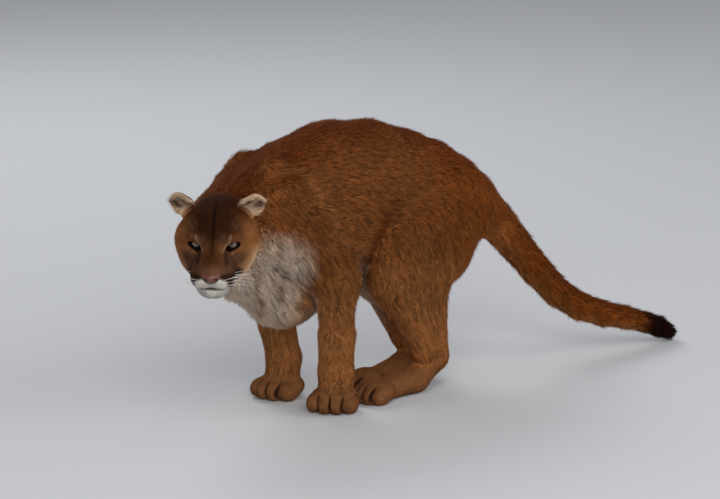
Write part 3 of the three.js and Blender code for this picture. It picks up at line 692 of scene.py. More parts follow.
def pad_edge(q):
    """How far outside the nose leather's outline, which is broad above and narrows to the cleft."""
    _, y, z = face_place(q)
    narrowing = 0.8 * np.maximum(PAD_SHOULDER - z, 0) + 0.7 * np.maximum(PAD_WAIST - z, 0)
    above = z - PAD_TOP - 0.01 * y ** 2
    return np.maximum(np.maximum(y - PAD_HALF_WIDTH + narrowing, above), PAD_FOOT - z)


# The coat's colours. Each function paints one region over what is there, at points p with normals n.
# Places on the head are in its own frame: x ahead of the eyes, side outward, z up.
def trunk_colours(c, p, n, r, ripple):
    """Dark along the spine, ginger on the rump, tan low down, pale beneath and inside the legs."""
    x, y, z = p.T
    trunk_part = 1 - r["head"]
    c = mix(c, GINGER, 0.75 * smooth(x + 30 * ripple, 180, 420))
    low = smooth(-z - 16 * ripple, -360, -210) * trunk_part * (1 - r["tail"])
    c = mix(c, TAN * 1.15, 0.74 * low)
    top = smooth(n[:, 2] + 0.1 * ripple, 0.3, 0.95)
    c = mix(c, SPINE, 0.8 * top * trunk_part * (1 - 0.5 * low))
    beneath = smooth(-n[:, 2] + 0.1 * ripple, 0.1, 0.75) * smooth(z, 90, 160) * trunk_part
    beneath *= smooth(-x, -330, -250) * band(y, 60, 105)
    c = mix(c, CREAM, 0.75 * beneath)
    inward = smooth(n[:, 1] * -np.sign(y) + 0.1 * ripple, 0.3, 0.9) * r["leg"]
    return mix(c, TAN * 1.1, 0.5 * inward)


THIGH_FOLDS = (126, 166)


def fold_colours(c, p, n, r, ripple):
    """A paler edge behind each shoulder, partly the hair's own parting and partly painted highlight, and a
    darker fold in front of each thigh, which is painted shade.
    """
    x, y, z = p.T
    edge_height = smooth(z, 290, 360)
    fold_height = smooth(z, 270, 310) * smooth(-z, -470, -400)
    for s, fold in zip(SIDES, THIGH_FOLDS):
        here = smooth(s * y, 55, 85) * (1 - r["head"])
        # The paler edge behind the shoulder: partly the parted hair's own colour, partly painted highlight.
        across = (x + 57) * 0.87 + (z - 465) * 0.49
        c = mix(c, TAN * 0.95, 0.35 * here * edge_height * band(across + 4 * ripple, 2, 18))
        # The darker fold in front of the thigh: painted shade in the crease.
        across = (x - fold) * 0.86 - (z - 357) * 0.5
        c = mix(c, SPINE, 0.6 * here * fold_height * band(across + 16 + 5 * ripple, 4, 20))
    return c


def chest_colours(c, p, n, r, ripple):
    """Cream on the chest and throat, with brown streaks that run down."""
    x, _, z = p.T
    front = smooth(-n[:, 0] + 0.15 * ripple, -0.3, 0.35) * smooth(-x, 75, 130)
    front *= smooth(-z - 10 * ripple, -425, -365) * (1 - r["head"]) * smooth(z, 160, 200)
    c = mix(c, CHEST_CREAM, 0.97 * front)
    streak = smooth(wave(p * vec(1, 1, 0.35), 30, 5), 0.25, 0.8)
    return mix(c, TAN * 0.45, 0.72 * front * streak)


def tail_colours(c, p, n, r, ripple):
    """Dark above, paler beneath, and a black tip."""
    c = mix(c, SPINE * 1.2, 0.5 * r["tail"] * smooth(n[:, 2], -0.6, 0.6))
    c = mix(c, TAN * 0.8, 0.7 * r["tail"] * smooth(-n[:, 2] + 0.1 * ripple, 0.2, 0.8))
    return mix(c, TAIL_BLACK, smooth(p[:, 0] + 8 * ripple, 868, 915))


def foot_colours(c, p, n, r, ripple):
    """Darker feet, with black painted shade in the grooves between the toes."""
    c = mix(c, FOOT_BROWN, 0.75 * r["foot"])
    for placed, size in PAWS:
        along, across, _ = into(np.linalg.inv(placed), p).T
        apart = (size["width"] / 2 - size["toe"]) / 1.5
        gap = np.min([np.abs(across - k * apart) for k in (-1, 0, 1)], axis=0)
        here = smooth(along, size["length"] * 0.12, size["length"] * 0.26) * (np.abs(along) < 90)
        here *= band(across, 60, 70) * smooth(-p[:, 2], -46, -34) * smooth(p[:, 2], 4, 14)
        # Black painted shade in the grooves between the toes.
        c = mix(c, BLACKISH, 0.9 * here * smooth(-gap, -3.6, -1.2))
    return c


def head_colours(c, p, n, r, ripple):
    """Tan temples and cheeks that pale along the jaw, and a dark brow and crown with a black stripe."""
    h = r["head"]
    x, side, z = face_place(r["q"])
    ahead = smooth(x, -75, -30)
    c = mix(c, FAWN, 0.9 * h * ahead)
    c = mix(c, TAN * 0.9, 0.62 * h * smooth(side + 4 * ripple, 44, 72) * smooth(-z, -70, -20))
    brow = smooth(-side + 7 * ripple, -66, -26) * smooth(z + 0.12 * side, 2, 24)
    c = mix(c, UMBER * 0.62, 0.94 * h * brow)
    nape = smooth(-x + 5 * ripple, 20, 90) * smooth(z, 10, 45)
    c = mix(c, SPINE * 0.42, 0.9 * h * nape * smooth(-side + 7 * ripple, -70, -40))
    # Greyish beside the root of the nose, fawn over the eyes, and greyish again beneath them.
    c = mix(c, GREYISH * 0.75, 0.6 * h * blot(side - 18, z - 16, 9, 15, 1.2, 0.2))
    over = spot(side - 45, z - 12 + 0.25 * (side - 40), 24, 12)
    c = mix(c, FAWN * 0.95, 0.85 * h * ahead * smooth(-over, -1.4, -0.3))
    c = mix(c, GREYISH * 0.75, 0.7 * h * ahead * blot(side - 40, z + 33, 26, 30, 1.3, 0.3))
    c = mix(c, GREYISH, 0.6 * h * ahead * blot(side - 50, z + 27, 24, 24, 1.3, 0.2))
    # The jaw's pale edge.
    edge = h * smooth(-x, -26, -4)
    outer = 0.82 * side - 0.57 * z + 3 * ripple
    c = mix(c, JAW_TAN, 0.75 * edge * smooth(outer, 58, 78) * smooth(-z, -4, 18))
    c = mix(c, CREAM * 1.1, 0.95 * edge * smooth(outer, 74, 90) * smooth(-z, 4, 24))
    # The bridge of the nose, and the stripe with the dark place at its foot.
    bridge = h * smooth(-side, -32, -10) * smooth(x, -5, 20) * smooth(-z, -6, 14)
    c = mix(c, UMBER * 1.5, 0.85 * bridge)
    c = mix(c, GREYISH * 1.6, 0.85 * bridge * smooth(-z, 14, 32))
    stripe = smooth(-side - 1.2 * np.abs(ripple), -4.5, -1.0) * smooth(z, -8, 6) * smooth(-z, -84, -66)
    c = mix(c, BLACKISH, 0.9 * h * stripe * smooth(x, -90, -50))
    return mix(c, UMBER * 0.6, 0.6 * h * blot(side, z - 2, 16, 18, 1.1, 0.3) * ahead)


def muzzle_colours(c, p, n, r, ripple):
    """Brown above, white in front, dark where the lips end and along the mouth, and white darkened to grey on
    the chin as painted shade.
    """
    h = r["head"]
    x, side, z = face_place(r["q"])
    front = h * smooth(x, 8, 30)
    white = smooth(-z + 0.2 * np.maximum(x - 46, 0) - 0.36 * side, 42, 49) * smooth(-side, -36, -27)
    c = mix(c, GREYISH * 1.3, 0.8 * front * smooth(-z, 46, 60))
    c = mix(c, DUSK * 0.8, 0.9 * front * blot(side - 28, z + 48, 17, 10, 1.4, 0.5))
    c = mix(c, MUZZLE_WHITE, 0.97 * front * white)
    corner = smooth(x, -14, 2) * blot(side - 45, z + 63, 11, 17, 1.4, 0.6)
    c = mix(c, DUSK, 0.95 * h * corner)
    lip = z + 73 - 7 * np.minimum((side / 45) ** 2, 1)
    c = mix(c, DUSK, 0.8 * front * band(lip, 1.5, 4.5) * smooth(-side, -50, -20))
    c = mix(c, DUSK, 0.7 * front * blot(side, z + 71, 11, 6, 1.2, 0.3))
    # The chin: white darkened to grey, painted shade beneath the jaw.
    chin = smooth(-z, 76, 82) * smooth(x, 4, 30) * smooth(-side, -37, -27)
    return mix(c, WHITE * 0.62, 0.9 * h * chin)


# Fine pale lines of hair by each eye, as places outward and up on the face.
BROW_LINE = ((35, 21), (31, 9), (20.5, -3))
UNDER_LINE = ((56, -1), (48, -10), (36, -14))


def line_along(side, z, places):
    """Distance from the bent line through three places."""
    return np.minimum(line_between(side, z, *places[:2]), line_between(side, z, *places[1:]))


def eye_colours(c, p, n, r, ripple):
    """Dark skin round each opening, wide at the inner corner, and fine pale lines of hair."""
    x, side, z = face_place(r["q"])
    lit = smooth(x, -45, -20) * r["head"]
    fleck = 0.75 + 0.35 * wave(p, 7, 9)
    c = mix(c, CREAM * 0.55, 0.5 * lit * fleck * smooth(-line_along(side, z, BROW_LINE), -3.6, -0.3))
    c = mix(c, TAN, 0.4 * lit * fleck * smooth(-line_along(side, z, UNDER_LINE), -3.2, -0.4))
    c = mix(c, DUSK, 0.75 * lit * blot(side - 27 + 0.3 * (z + 14), z + 16, 4.5, 11, 1.4, 0.5))
    for s in SIDES:
        outside, u, w = eye_place(r["q"], s)
        black = 1.3 + 1.2 * smooth(-u, 0, 9) * smooth(-w, -3, 2) + 1.2 * smooth(u, 8, 15)
        rim = smooth(black - outside, -0.5, 0.5) * smooth(-x, -20, -11)
        c = mix(c, BLACKISH * 0.5, 0.97 * lit * rim)
    return c


def ear_colours(c, p, n, r, ripple):
    """Pale hair on the rim and inside the cup, dusky patches in it, dark behind."""
    for s, e, local in in_ears(p):
        deep, wide, high = local.T
        here = smooth(high, -4, 10) * (high < 60) * (np.abs(wide) < 36) * (np.abs(deep) < 24)
        facing = n @ e[:3, 0]
        c = mix(c, UMBER * 1.3, here * smooth(-facing, -0.1, 0.5))
        c = mix(c, CREAM, 0.9 * here * smooth(facing, -0.35, 0.2))
        patch = blot(s * wide - 8, high - 26, 11, 17, 1.2, 0.5)
        patch = np.maximum(patch, blot(s * wide + 14, high - 12, 7, 12, 1.2, 0.5))
        c = mix(c, EAR_DUSK, 0.85 * here * smooth(facing, 0.0, 0.5) * patch)
    return c


PAINTERS = (
    trunk_colours, fold_colours, chest_colours, tail_colours, foot_colours,
    head_colours, muzzle_colours, eye_colours, ear_colours,
)


def markings(p, n):
    """The coat's colour at points p of the skin with normals n, in linear light."""
    r = regions(p)
    ripple = wave(p, 90, 1) * 0.5 + wave(p, 38, 2) * 0.3
    c = np.tile(RUST, (len(p), 1))
    for paint in PAINTERS:
        c = paint(c, p, n, r, ripple)
    return c


# Meshes.
eye_low, eye_high = (np.array(v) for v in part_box("eye_left"))
SHIFT = (eye_low + eye_high) / 2 * 1000 - into(HEAD, (-EYE_SETBACK, EYE_SPACING / 2, 0))


def to_metres(p):
    return (p + SHIFT) * 0.001


def add_object(name, data):
    obj = bpy.data.objects.new(name, data)
    bpy.context.scene.collection.objects.link(obj)
    return obj


def add_mesh(name, p, faces, colours, surface_material, uv=None, smooth_faces=True):
    """A mesh object from an array of faces, with a colour a point and perhaps a UV a corner."""
    number, sides = faces.shape
    mesh = bpy.data.meshes.new(name)
    mesh.vertices.add(len(p))
    mesh.vertices.foreach_set("co", to_metres(p).astype(np.float32).ravel())
    mesh.loops.add(faces.size)
    mesh.loops.foreach_set("vertex_index", faces.astype(np.int32).ravel())
    mesh.polygons.add(number)
    mesh.polygons.foreach_set("loop_start", np.arange(number, dtype=np.int32) * sides)
    mesh.polygons.foreach_set("loop_total", np.full(number, sides, np.int32))
    mesh.update(calc_edges=True)
    if smooth_faces:
        mesh.polygons.foreach_set("use_smooth", np.ones(number, bool))
    layer = mesh.color_attributes.new("Coat", "FLOAT_COLOR", "POINT")
    rgba = np.column_stack([colours, np.ones(len(p))])
    layer.data.foreach_set("color", rgba.astype(np.float32).ravel())
    if uv is not None:
        layer = mesh.uv_layers.new(name="OFBake")
        layer.data.foreach_set("uv", uv.astype(np.float32).ravel())
    mesh.materials.append(surface_material)
    return add_object(name, mesh)


# Materials.
def material(name):
    m = bpy.data.materials.new(name)
    m.use_nodes = True
    tree = m.node_tree
    shader = next(n for n in tree.nodes if n.type == "BSDF_PRINCIPLED")
    return m, tree, shader


def node(tree, kind, **inputs):
    """A node of a kind, with its inputs' values. An underscore in a name stands for a space."""
    n = tree.nodes.new(kind)
    for key, v in inputs.items():
        n.inputs[key.replace("_", " ")].default_value = v
    return n


def attribute(tree, name):
    n = node(tree, "ShaderNodeAttribute")
    n.attribute_name = name
    return n


def noise_in_place(tree, scale, detail):
    place = node(tree, "ShaderNodeTexCoord")
    noise = node(tree, "ShaderNodeTexNoise", Scale=scale, Detail=detail)
    tree.links.new(place.outputs["Object"], noise.inputs["Vector"])
    return noise.outputs["Fac"]


def bumpy(tree, shader, height, strength, distance):
    bumps = node(tree, "ShaderNodeBump", Strength=strength, Distance=distance)
    tree.links.new(height, bumps.inputs["Height"])
    tree.links.new(bumps.outputs["Normal"], shader.inputs["Normal"])


def coat_material(name, darkness, roughness, bump=0.0):
    """The points' own colours, a little uneven from place to place, and scaled by a darkness, which on the
    skin is painted shade.
    """
    m, tree, shader = material(name)
    low, high = 0.86 * darkness, 1.1 * darkness
    uneven = node(tree, "ShaderNodeMapRange", From_Min=0.3, From_Max=0.7, To_Min=low, To_Max=high)
    scale = node(tree, "ShaderNodeVectorMath")
    scale.operation = "SCALE"
    tree.links.new(noise_in_place(tree, 55.0, 3.0), uneven.inputs["Value"])
    tree.links.new(attribute(tree, "Coat").outputs["Color"], scale.inputs[0])
    tree.links.new(uneven.outputs["Result"], scale.inputs["Scale"])
    tree.links.new(scale.outputs["Vector"], shader.inputs["Base Color"])
    shader.inputs["Roughness"].default_value = roughness
    shader.inputs["Specular IOR Level"].default_value = 0.05
    if bump:
        bumpy(tree, shader, noise_in_place(tree, 900.0, 2.0), bump, 0.001)
    return m


def mottled(name, scale, detail, dark, pale, roughness):
    """A plain material that wavers between two near colours."""
    m, tree, shader = material(name)
    noise = node(tree, "ShaderNodeTexNoise", Scale=scale, Detail=detail)
    blend = node(tree, "ShaderNodeMix")
    blend.data_type = "RGBA"
    blend.inputs["A"].default_value = (*dark, 1)
    blend.inputs["B"].default_value = (*pale, 1)
    tree.links.new(noise.outputs["Fac"], blend.inputs["Factor"])
    tree.links.new(blend.outputs["Result"], shader.inputs["Base Color"])
    shader.inputs["Roughness"].default_value = roughness
    return m


# The skin is painted at 0.7 of the coat's colours: painted shade deep under the hair.
SKIN_MATERIAL = coat_material("undercoat_painted_shade", 0.7, 0.9, bump=0.5)
FUR_MATERIAL = coat_material("fur", 1.0, 0.8)
skin = add_mesh("skin", skin_p, skin_q, markings(skin_p, skin_n), SKIN_MATERIAL)


def unwrap(obj):
    """An unwrap of the skin's own shape, as one UV a corner."""
    bpy.context.view_layer.objects.active = obj
    obj.select_set(True)
    obj.data.uv_layers.new(name="OFBake")
    bpy.ops.object.mode_set(mode="EDIT")
    bpy.ops.mesh.select_all(action="SELECT")
    bpy.ops.uv.smart_project(angle_limit=math.radians(66), island_margin=0.001)
    bpy.ops.object.mode_set(mode="OBJECT")
    obj.select_set(False)
    uv = np.zeros(len(obj.data.loops) * 2, np.float32)
    obj.data.uv_layers["OFBake"].data.foreach_get("uv", uv)
    return uv.reshape(-1, 2)


skin_uv = unwrap(skin).reshape(-1, 4, 2)


# Tufts: how many for each mm2, and their length, width and rise in mm and degrees, on each region in turn.
TRUNK_STYLE = (0.2, 18.0, 2.0, 17.0)
STYLES = dict(
    chest=(0.19, 26, 2.3, 24),
    tail=(0.26, 16, 1.8, 20),
    leg=(0.3, 10.5, 1.5, 16),
    foot=(0.42, 6.5, 1.2, 14),
    head=(0.5, 7.0, 1.0, 15),
    muzzle=(0.75, 4.2, 0.75, 13),
    eye=(0.85, 3.4, 0.65, 12),
    ear=(0.9, 4.6, 0.7, 14),
)
IN_EAR_STYLE = (0.7, 12.0, 0.8, 13)
ROOT_DEPTH = 0.6
SOLE_HEIGHT = 3.0
TUFTS_A_PIECE = 48000


def style(p, n):
    """The tufts' density, length, width and rise at points p with normals n."""
    r = regions(p)
    arrays = [np.full(len(p), value) for value in TRUNK_STYLE]

    def toward(weight, values):
        for array, v in zip(arrays, values):
            array += (v - array) * weight

    for name, values in STYLES.items():
        toward(r[name], values)
    for side, e, local in in_ears(p):
        _, wide, high = local.T
        inside = r["ear"] * smooth(n @ e[:3, 0], 0.3, 0.8) * smooth(-side * wide, -4, 6)
        toward(inside * smooth(-high, -28, -18), IN_EAR_STYLE)
    return arrays


def corner_mix(count):
    """Weights of a quad's four corners at places chosen at random on it."""
    s, t = rng.random(count), rng.random(count)
    return np.stack([(1 - s) * (1 - t), s * (1 - t), s * t, (1 - s) * t], 1)


def make_tufts():
    """The tufts' roots, spread over the skin's quads by how many each place needs."""
    corner = skin_p[skin_q]
    middle = corner.mean(axis=1)
    facing = np.cross(corner[:, 2] - corner[:, 0], corner[:, 3] - corner[:, 1])
    area = np.linalg.norm(facing, axis=1) / 2
    quad_n = unit(facing)
    density, _, _, _ = style(middle, quad_n)
    # None under the soles, and none on the nose leather or in the eye openings.
    q = into(HEAD_BACK, middle)
    sole = (middle[:, 2] < SOLE_HEIGHT) & (quad_n[:, 2] < -0.5)
    bare = sole | (pad_edge(q) < 0.3) & (q[:, 0] > PAD_FRONT)
    for s in SIDES:
        bare |= (eye_place(q, s)[0] < 0.8) & (q[:, 0] > -45) & (q[:, 0] < 17)
    share = 1.0
    need = np.cumsum(area * density * ~bare) * share
    number = int(need[-1])
    face = np.searchsorted(need, np.arange(number) + 0.5)
    weights = corner_mix(number)
    root = np.einsum("ij,ijk->ik", weights, corner[face])
    n = unit(np.einsum("ij,ijk->ik", weights, skin_n[skin_q[face]]))
    uv = np.einsum("ij,ijk->ik", weights, skin_uv[face])
    return root, n, uv


root, root_n, root_uv = make_tufts()


def grow(root, n):
    """A thin three-sided blade from each root: two root corners, a ridge and a tip, with their colours."""
    _, length, width, rise = style(root, n)
    # The blades sway a little about the lie of the coat, and rise and fall together in clumps.
    t = lie_of(root, n)
    s = np.cross(n, t)
    sway = (0.16 * wave(root, 60, 21) + 0.12 * wave(root, 22, 22) + rng.normal(0, 0.1, len(root)))[:, None]
    t = unit(t + s * sway)
    s = np.cross(n, t)
    clump = np.clip(streaks(root, t, 11, 31) + 0.6 * streaks(root, t, 28, 32), -1.6, 1.6)
    coarse = np.clip((length - 4) / 8, 0.4, 1.0)
    length = length * (1 + rng.uniform(-0.25, 0.2, len(root)) + 0.08 * clump)
    angle = np.radians(rise * (1 + coarse * (rng.uniform(-0.35, 0.35, len(root)) + 0.35 * clump)))[:, None]
    reach = (t * np.cos(angle) + n * np.sin(angle)) * length[:, None]
    wide = (width * rng.uniform(0.8, 1.2, len(root)))[:, None]
    base = root - n * ROOT_DEPTH
    ridge = base + n * wide * 0.45 + t * length[:, None] * 0.12
    tip = root + reach
    tip[:, 2] = np.maximum(tip[:, 2], HAIR_ABOVE_FLOOR)
    p = np.stack([base + s * wide / 2, base - s * wide / 2, ridge, tip], 1)
    # Each has a tone of its own, and is darker at the root than at the tip: the darker root is painted shade
    # deep in the coat.
    colour = markings(root, n)
    tone = (1 + coarse * (rng.normal(0, 0.22, len(root)) + 0.3 * clump))[:, None]
    warm = 1 + rng.normal(0, 0.06, (len(root), 1)) * vec(0.6, 0, -1)
    colour = within_white(colour * tone * warm)
    # How dark the root's painted shade is: less for pale hair.
    depth = 0.68 + 0.3 * smooth(colour.mean(axis=1), 0.1, 0.5)[:, None]
    shades = np.stack([colour * depth, colour * depth, colour * 0.9, within_white(colour * 1.25)], 1)
    return p, shades


# The blade's four sides by their corners, and its patch of the unwrap.
BLADE = np.array([[0, 2, 3], [2, 1, 3], [1, 0, 3], [0, 1, 2]])
PATCH = np.array([[-0.5, -0.4], [0.5, -0.4], [0.0, 0.0], [0.0, 0.5]]) * 0.003


def add_coat(name, members):
    p, shades = grow(root[members], root_n[members])
    number = len(p)
    faces = (np.arange(number)[:, None, None] * 4 + BLADE).reshape(-1, 3)
    uv = np.repeat(root_uv[members], BLADE.size, axis=0) + np.tile(PATCH[BLADE.ravel()], (number, 1))
    shades = shades.reshape(-1, 3)
    return add_mesh(name, p.reshape(-1, 3), faces, shades, FUR_MATERIAL, uv, smooth_faces=False)


order = np.argsort(root[:, 0], kind="stable")
coat = []
for i in range(0, len(order), TUFTS_A_PIECE):
    coat.append(add_coat(f"coat_{i // TUFTS_A_PIECE + 1}", order[i:i + TUFTS_A_PIECE]))


# Eyes. Their colours lie by the angle from the middle of the gaze: pupil, iris, and its dark edge.
EYE_COLOURS = (
    (0.0, (0.004, 0.004, 0.004)),
    (0.17, (0.004, 0.004, 0.004)),
    (0.2, (0.16, 0.14, 0.1)),
    (0.42, (0.3, 0.265, 0.215)),
    (0.55, (0.17, 0.145, 0.115)),
    (0.62, (0.02, 0.015, 0.012)),
    (1.0, (0.05, 0.03, 0.022)),
)
GLOBE_RADIUS = EYE_RADIUS - 0.6
CORNEA_RISE = 1.3
GAZE_REACH = 1.15


def eye_material():
    m, tree, shader = material("eye")
    ramp = node(tree, "ShaderNodeValToRGB")
    elements = ramp.color_ramp.elements
    while len(elements) < len(EYE_COLOURS):
        elements.new(0.5)
    for element, (where, rgb) in zip(elements, EYE_COLOURS):
        element.position = where
        element.color = (*rgb, 1)
    spread = node(tree, "ShaderNodeMath")
    spread.operation = "MULTIPLY_ADD"
    spread.inputs[1].default_value = 0.05
    tree.links.new(noise_in_place(tree, 600.0, 2.0), spread.inputs[0])
    tree.links.new(attribute(tree, "Gaze").outputs["Fac"], spread.inputs[2])
    tree.links.new(spread.outputs[0], ramp.inputs["Fac"])
    tree.links.new(ramp.outputs["Color"], shader.inputs["Base Color"])
    shader.inputs["Roughness"].default_value = 0.25
    shader.inputs["Coat Weight"].default_value = 1.0
    shader.inputs["Coat Roughness"].default_value = 0.03
    return m


EYE_MATERIAL = eye_material()


def add_eye(name, s):
    """An eyeball with a raised cornea, looking ahead and a little inwards and up."""
    centre = into(HEAD, (-EYE_SETBACK, s * EYE_SPACING / 2, 0))
    gaze = unit(HEAD[:3, :3] @ vec(1, -s * 0.04, 0.18))
    side = unit(np.cross(gaze, vec(0, 0, 1)))
    up = np.cross(side, gaze)
    rings, steps = 40, 48
    theta = np.linspace(0, math.pi, rings + 1)[1:-1]
    phi = np.arange(steps)[:, None] * 2 * math.pi / steps
    radius = GLOBE_RADIUS + CORNEA_RISE * smooth(-theta, -0.72, -0.1)
    around = np.cos(phi) * side + np.sin(phi) * up
    ring = np.cos(theta)[:, None, None] * gaze + np.sin(theta)[:, None, None] * around
    p = np.concatenate([
        [centre + gaze * (GLOBE_RADIUS + CORNEA_RISE)],
        (centre + ring * radius[:, None, None]).reshape(-1, 3),
        [centre - gaze * GLOBE_RADIUS],
    ])
    faces = []
    last = len(p) - 1
    for j in range(steps):
        k = (j + 1) % steps
        faces.append((0, 1 + j, 1 + k))
        faces.append((last, last - steps + k, last - steps + j))
        for i in range(1, 1 + (rings - 2) * steps, steps):
            faces.append((i + j, i + steps + j, i + steps + k, i + k))
    mesh = bpy.data.meshes.new(name)
    mesh.from_pydata([tuple(v) for v in to_metres(p)], [], faces)
    mesh.update()
    far = np.concatenate([[0.0], np.repeat(theta / GAZE_REACH, steps), [1.0]])
    layer = mesh.attributes.new("Gaze", "FLOAT", "POINT")
    layer.data.foreach_set("value", np.clip(far, 0, 1).astype(np.float32))
    mesh.polygons.foreach_set("use_smooth", np.ones(len(mesh.polygons), bool))
    mesh.materials.append(EYE_MATERIAL)
    return add_object(name, mesh)


eyes = [add_eye("eyeball_left", 1), add_eye("eyeball_right", -1)]


# The nose leather, a finer surface than the skin's: a pink wedge in a dark edge, with black painted shade in
# the nostrils.
NOSE_CELL = 0.8


def leather_field(p):
    return body(p) + 0.7


def nose_colours(q):
    z = q[:, 2]
    pink = 18 - 0.75 * np.maximum(-41 - z, 0) - 0.55 * np.maximum(-47 - z, 0) - np.abs(q[:, 1])
    pink = smooth(pink, -2.0, 1.5) * smooth(-pad_edge(q), -0.5, 1.5)
    colour = mix(np.tile(BLACKISH, (len(q), 1)), NOSE_PINK, pink)
    # Black painted shade in each nostril.
    for s in SIDES:
        away = spot(q[:, 1] - s * 13.5, z + 45 + 0.3 * s * q[:, 1], 6.0, 3.0)
        colour = mix(colour, BLACKISH * 0.4, smooth(-away, -1.25, -0.7))
    return colour


def nose_material():
    m, tree, shader = material("nose_leather")
    cells = node(tree, "ShaderNodeTexVoronoi", Scale=700.0)
    place = node(tree, "ShaderNodeTexCoord")
    tree.links.new(place.outputs["Object"], cells.inputs["Vector"])
    bumpy(tree, shader, cells.outputs["Distance"], 0.5, 0.0006)
    tree.links.new(attribute(tree, "Coat").outputs["Color"], shader.inputs["Base Color"])
    shader.inputs["Roughness"].default_value = 0.42
    return m


def add_nose():
    corners = [into(HEAD, (x, y, z)) for x in (54, 90) for y in (-22, 22) for z in (-60, -26)]
    p, quads = surface(leather_field, np.min(corners, axis=0), np.max(corners, axis=0), NOSE_CELL)
    p = settle(leather_field, p, NOSE_CELL)
    q = into(HEAD_BACK, p[quads].mean(axis=1))
    keep = (q[:, 0] > PAD_FRONT) & (pad_edge(q) < 0)
    used, quads = np.unique(quads[keep], return_inverse=True)
    p = p[used]
    colours = nose_colours(into(HEAD_BACK, p))
    return add_mesh("nose_leather", p, quads.reshape(-1, 4), colours, nose_material())


nose = add_nose()


# Whiskers: thin curved tubes.
def tube(line, radii, sides=5):
    """The points and faces of a closed tube along a line."""
    tangent = unit(np.gradient(line, axis=0))
    side = unit(np.cross(tangent, vec(0.13, 0.27, 0.95)))
    other = np.cross(tangent, side)
    angle = np.arange(sides) * 2 * math.pi / sides
    ring = np.cos(angle)[None, :, None] * side[:, None] + np.sin(angle)[None, :, None] * other[:, None]
    p = (line[:, None] + ring * radii[:, None, None]).reshape(-1, 3)
    faces = []
    for i in range(len(line) - 1):
        for j in range(sides):
            k = (j + 1) % sides
            faces.append((i * sides + j, i * sides + k, (i + 1) * sides + k, (i + 1) * sides + j))
    faces.append(tuple(range(sides))[::-1])
    faces.append(tuple((len(line) - 1) * sides + j for j in range(sides)))
    return p, faces


def add_whiskers():
    """Four rows of five on each side of the muzzle, and two hairs over each eye."""
    pads = []
    for s in SIDES:
        for row in range(4):
            for i in range(5):
                start = on_face((14 + 6 * i, 0, -48 - 6 * row), s * (74 - 9 * i))
                pads.append((start, s, rng.uniform(56, 84) - 5 * i, -0.12 - 0.16 * row + 0.04 * i))
    hairs = []
    for start, s, long, fall in pads:
        t = np.linspace(0, 1, 9)[:, None]
        bend = rng.uniform(-0.1, 0.1)
        back = -0.15 if s < 0 else -0.72
        away = unit(vec(back + bend, s, fall + 0.1 + bend))
        hairs.append((vec(*start) + away * t * long + vec(back / 2, 0, -0.22) * t ** 2 * long, 0.31))
    for s in SIDES:
        for i in range(2):
            t = np.linspace(0, 1, 7)[:, None]
            away = unit(vec(0.1, s * (0.3 + 0.22 * i), 0.75))
            start = vec(-6, s * (26 + 6 * i), 20)
            hairs.append((start + away * t * rng.uniform(26, 38) + vec(-0.3, 0, -0.1) * t ** 2 * 30, 0.16))
    points, faces, base = [], [], 0
    for line, radius in hairs:
        p, sides = tube(into(HEAD, line), radius * (1 - 0.85 * np.linspace(0, 1, len(line))))
        points += [tuple(v) for v in to_metres(p)]
        faces += [tuple(base + v for v in face) for face in sides]
        base += len(p)
    mesh = bpy.data.meshes.new("whiskers")
    mesh.from_pydata(points, [], faces)
    mesh.update()
    mesh.materials.append(mottled("whisker", 80.0, 2.0, (0.62, 0.58, 0.52), (0.85, 0.83, 0.8), 0.4))
    return add_object("whiskers", mesh)


whiskers = add_whiskers()

# Every piece belongs to the one body, and stands for the nodes that it covers.
FLESH = [name for name in frame["nodes"] if not name.startswith(("eye_", "nose"))]
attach(skin, "root")
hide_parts(*FLESH)
for piece in coat:
    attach(piece, "root")
for piece, name in zip(eyes, ("eye_left", "eye_right")):
    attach(piece, "root")
    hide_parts(name)
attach(nose, "root")
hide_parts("nose")
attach(whiskers, "root")

# Floor, light and camera.
bpy.ops.mesh.primitive_plane_add(size=60, location=(0, 0, 0))
floor = bpy.context.active_object
floor.name = "floor"
floor.data.materials.append(mottled("floor", 2.0, 3.0, (0.60, 0.61, 0.63), (0.64, 0.65, 0.67), 0.8))


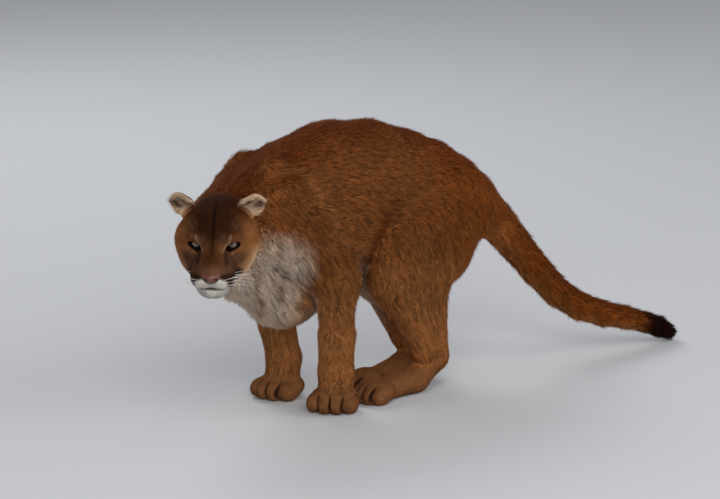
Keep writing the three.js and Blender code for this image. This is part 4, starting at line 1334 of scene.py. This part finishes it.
def look(place, ahead):
    """A camera's or lamp's place and turn, level with the floor."""
    right = unit(np.cross(ahead, vec(0, 0, 1)))
    m = np.eye(4)
    m[:3, 0], m[:3, 1], m[:3, 2], m[:3, 3] = right, np.cross(right, ahead), -ahead, place
    return Matrix(m.tolist())


LIT_PLACE = vec(0, 0, 0.3)


def add_light(name, place, size, power, colour):
    data = bpy.data.lights.new(name, "AREA")
    data.shape = "DISK"
    data.size = size
    data.energy = power
    data.color = colour
    obj = add_object(name, data)
    obj.matrix_world = look(vec(*place), unit(LIT_PLACE - vec(*place)))


add_light("key", (-3.1, -3.7, 2.8), 3.2, 150, (1.0, 0.985, 0.96))
add_light("fill", (2.8, -3.8, 2.0), 3.5, 85, (1.0, 0.98, 0.96))
add_light("rim", (1.2, 3.6, 3.4), 2.5, 70, (0.98, 0.99, 1.0))
world = bpy.data.worlds.new("sky")
bpy.context.scene.world = world
world.use_nodes = True
background = next(n for n in world.node_tree.nodes if n.type == "BACKGROUND")
background.inputs["Color"].default_value = (0.86, 0.88, 0.92, 1)
background.inputs["Strength"].default_value = 0.4

# The photograph's view: 43 degrees round from the left side towards the head, 12 degrees up.
AZIMUTH, ELEVATION, DISTANCE = 43, 12, 8400.0
LENS, SENSOR = 200.0, 36
WIDTH, HEIGHT = 720, 499
ORIGIN_IN_VIEW = (305.5, 404.0)
pixels = LENS / SENSOR * WIDTH
th, el = math.radians(AZIMUTH), math.radians(ELEVATION)
right = vec(math.cos(th), -math.sin(th), 0)
level = vec(math.sin(th), math.cos(th), 0)
ahead = math.cos(el) * level - math.sin(el) * vec(0, 0, 1)
upward = math.sin(el) * level + math.cos(el) * vec(0, 0, 1)
aside = (WIDTH / 2 - ORIGIN_IN_VIEW[0]) * right - (HEIGHT / 2 - ORIGIN_IN_VIEW[1]) * upward
place = to_metres(aside * DISTANCE / pixels - DISTANCE * ahead)
camera_data = bpy.data.cameras.new("camera")
camera_data.lens = LENS
camera_data.sensor_width = SENSOR
camera_data.clip_end = 100
camera = add_object("camera", camera_data)
camera.matrix_world = look(place, ahead)
bpy.context.scene.camera = camera
bpy.context.scene.view_settings.view_transform = "Standard"

bpy.context.view_layer.update()
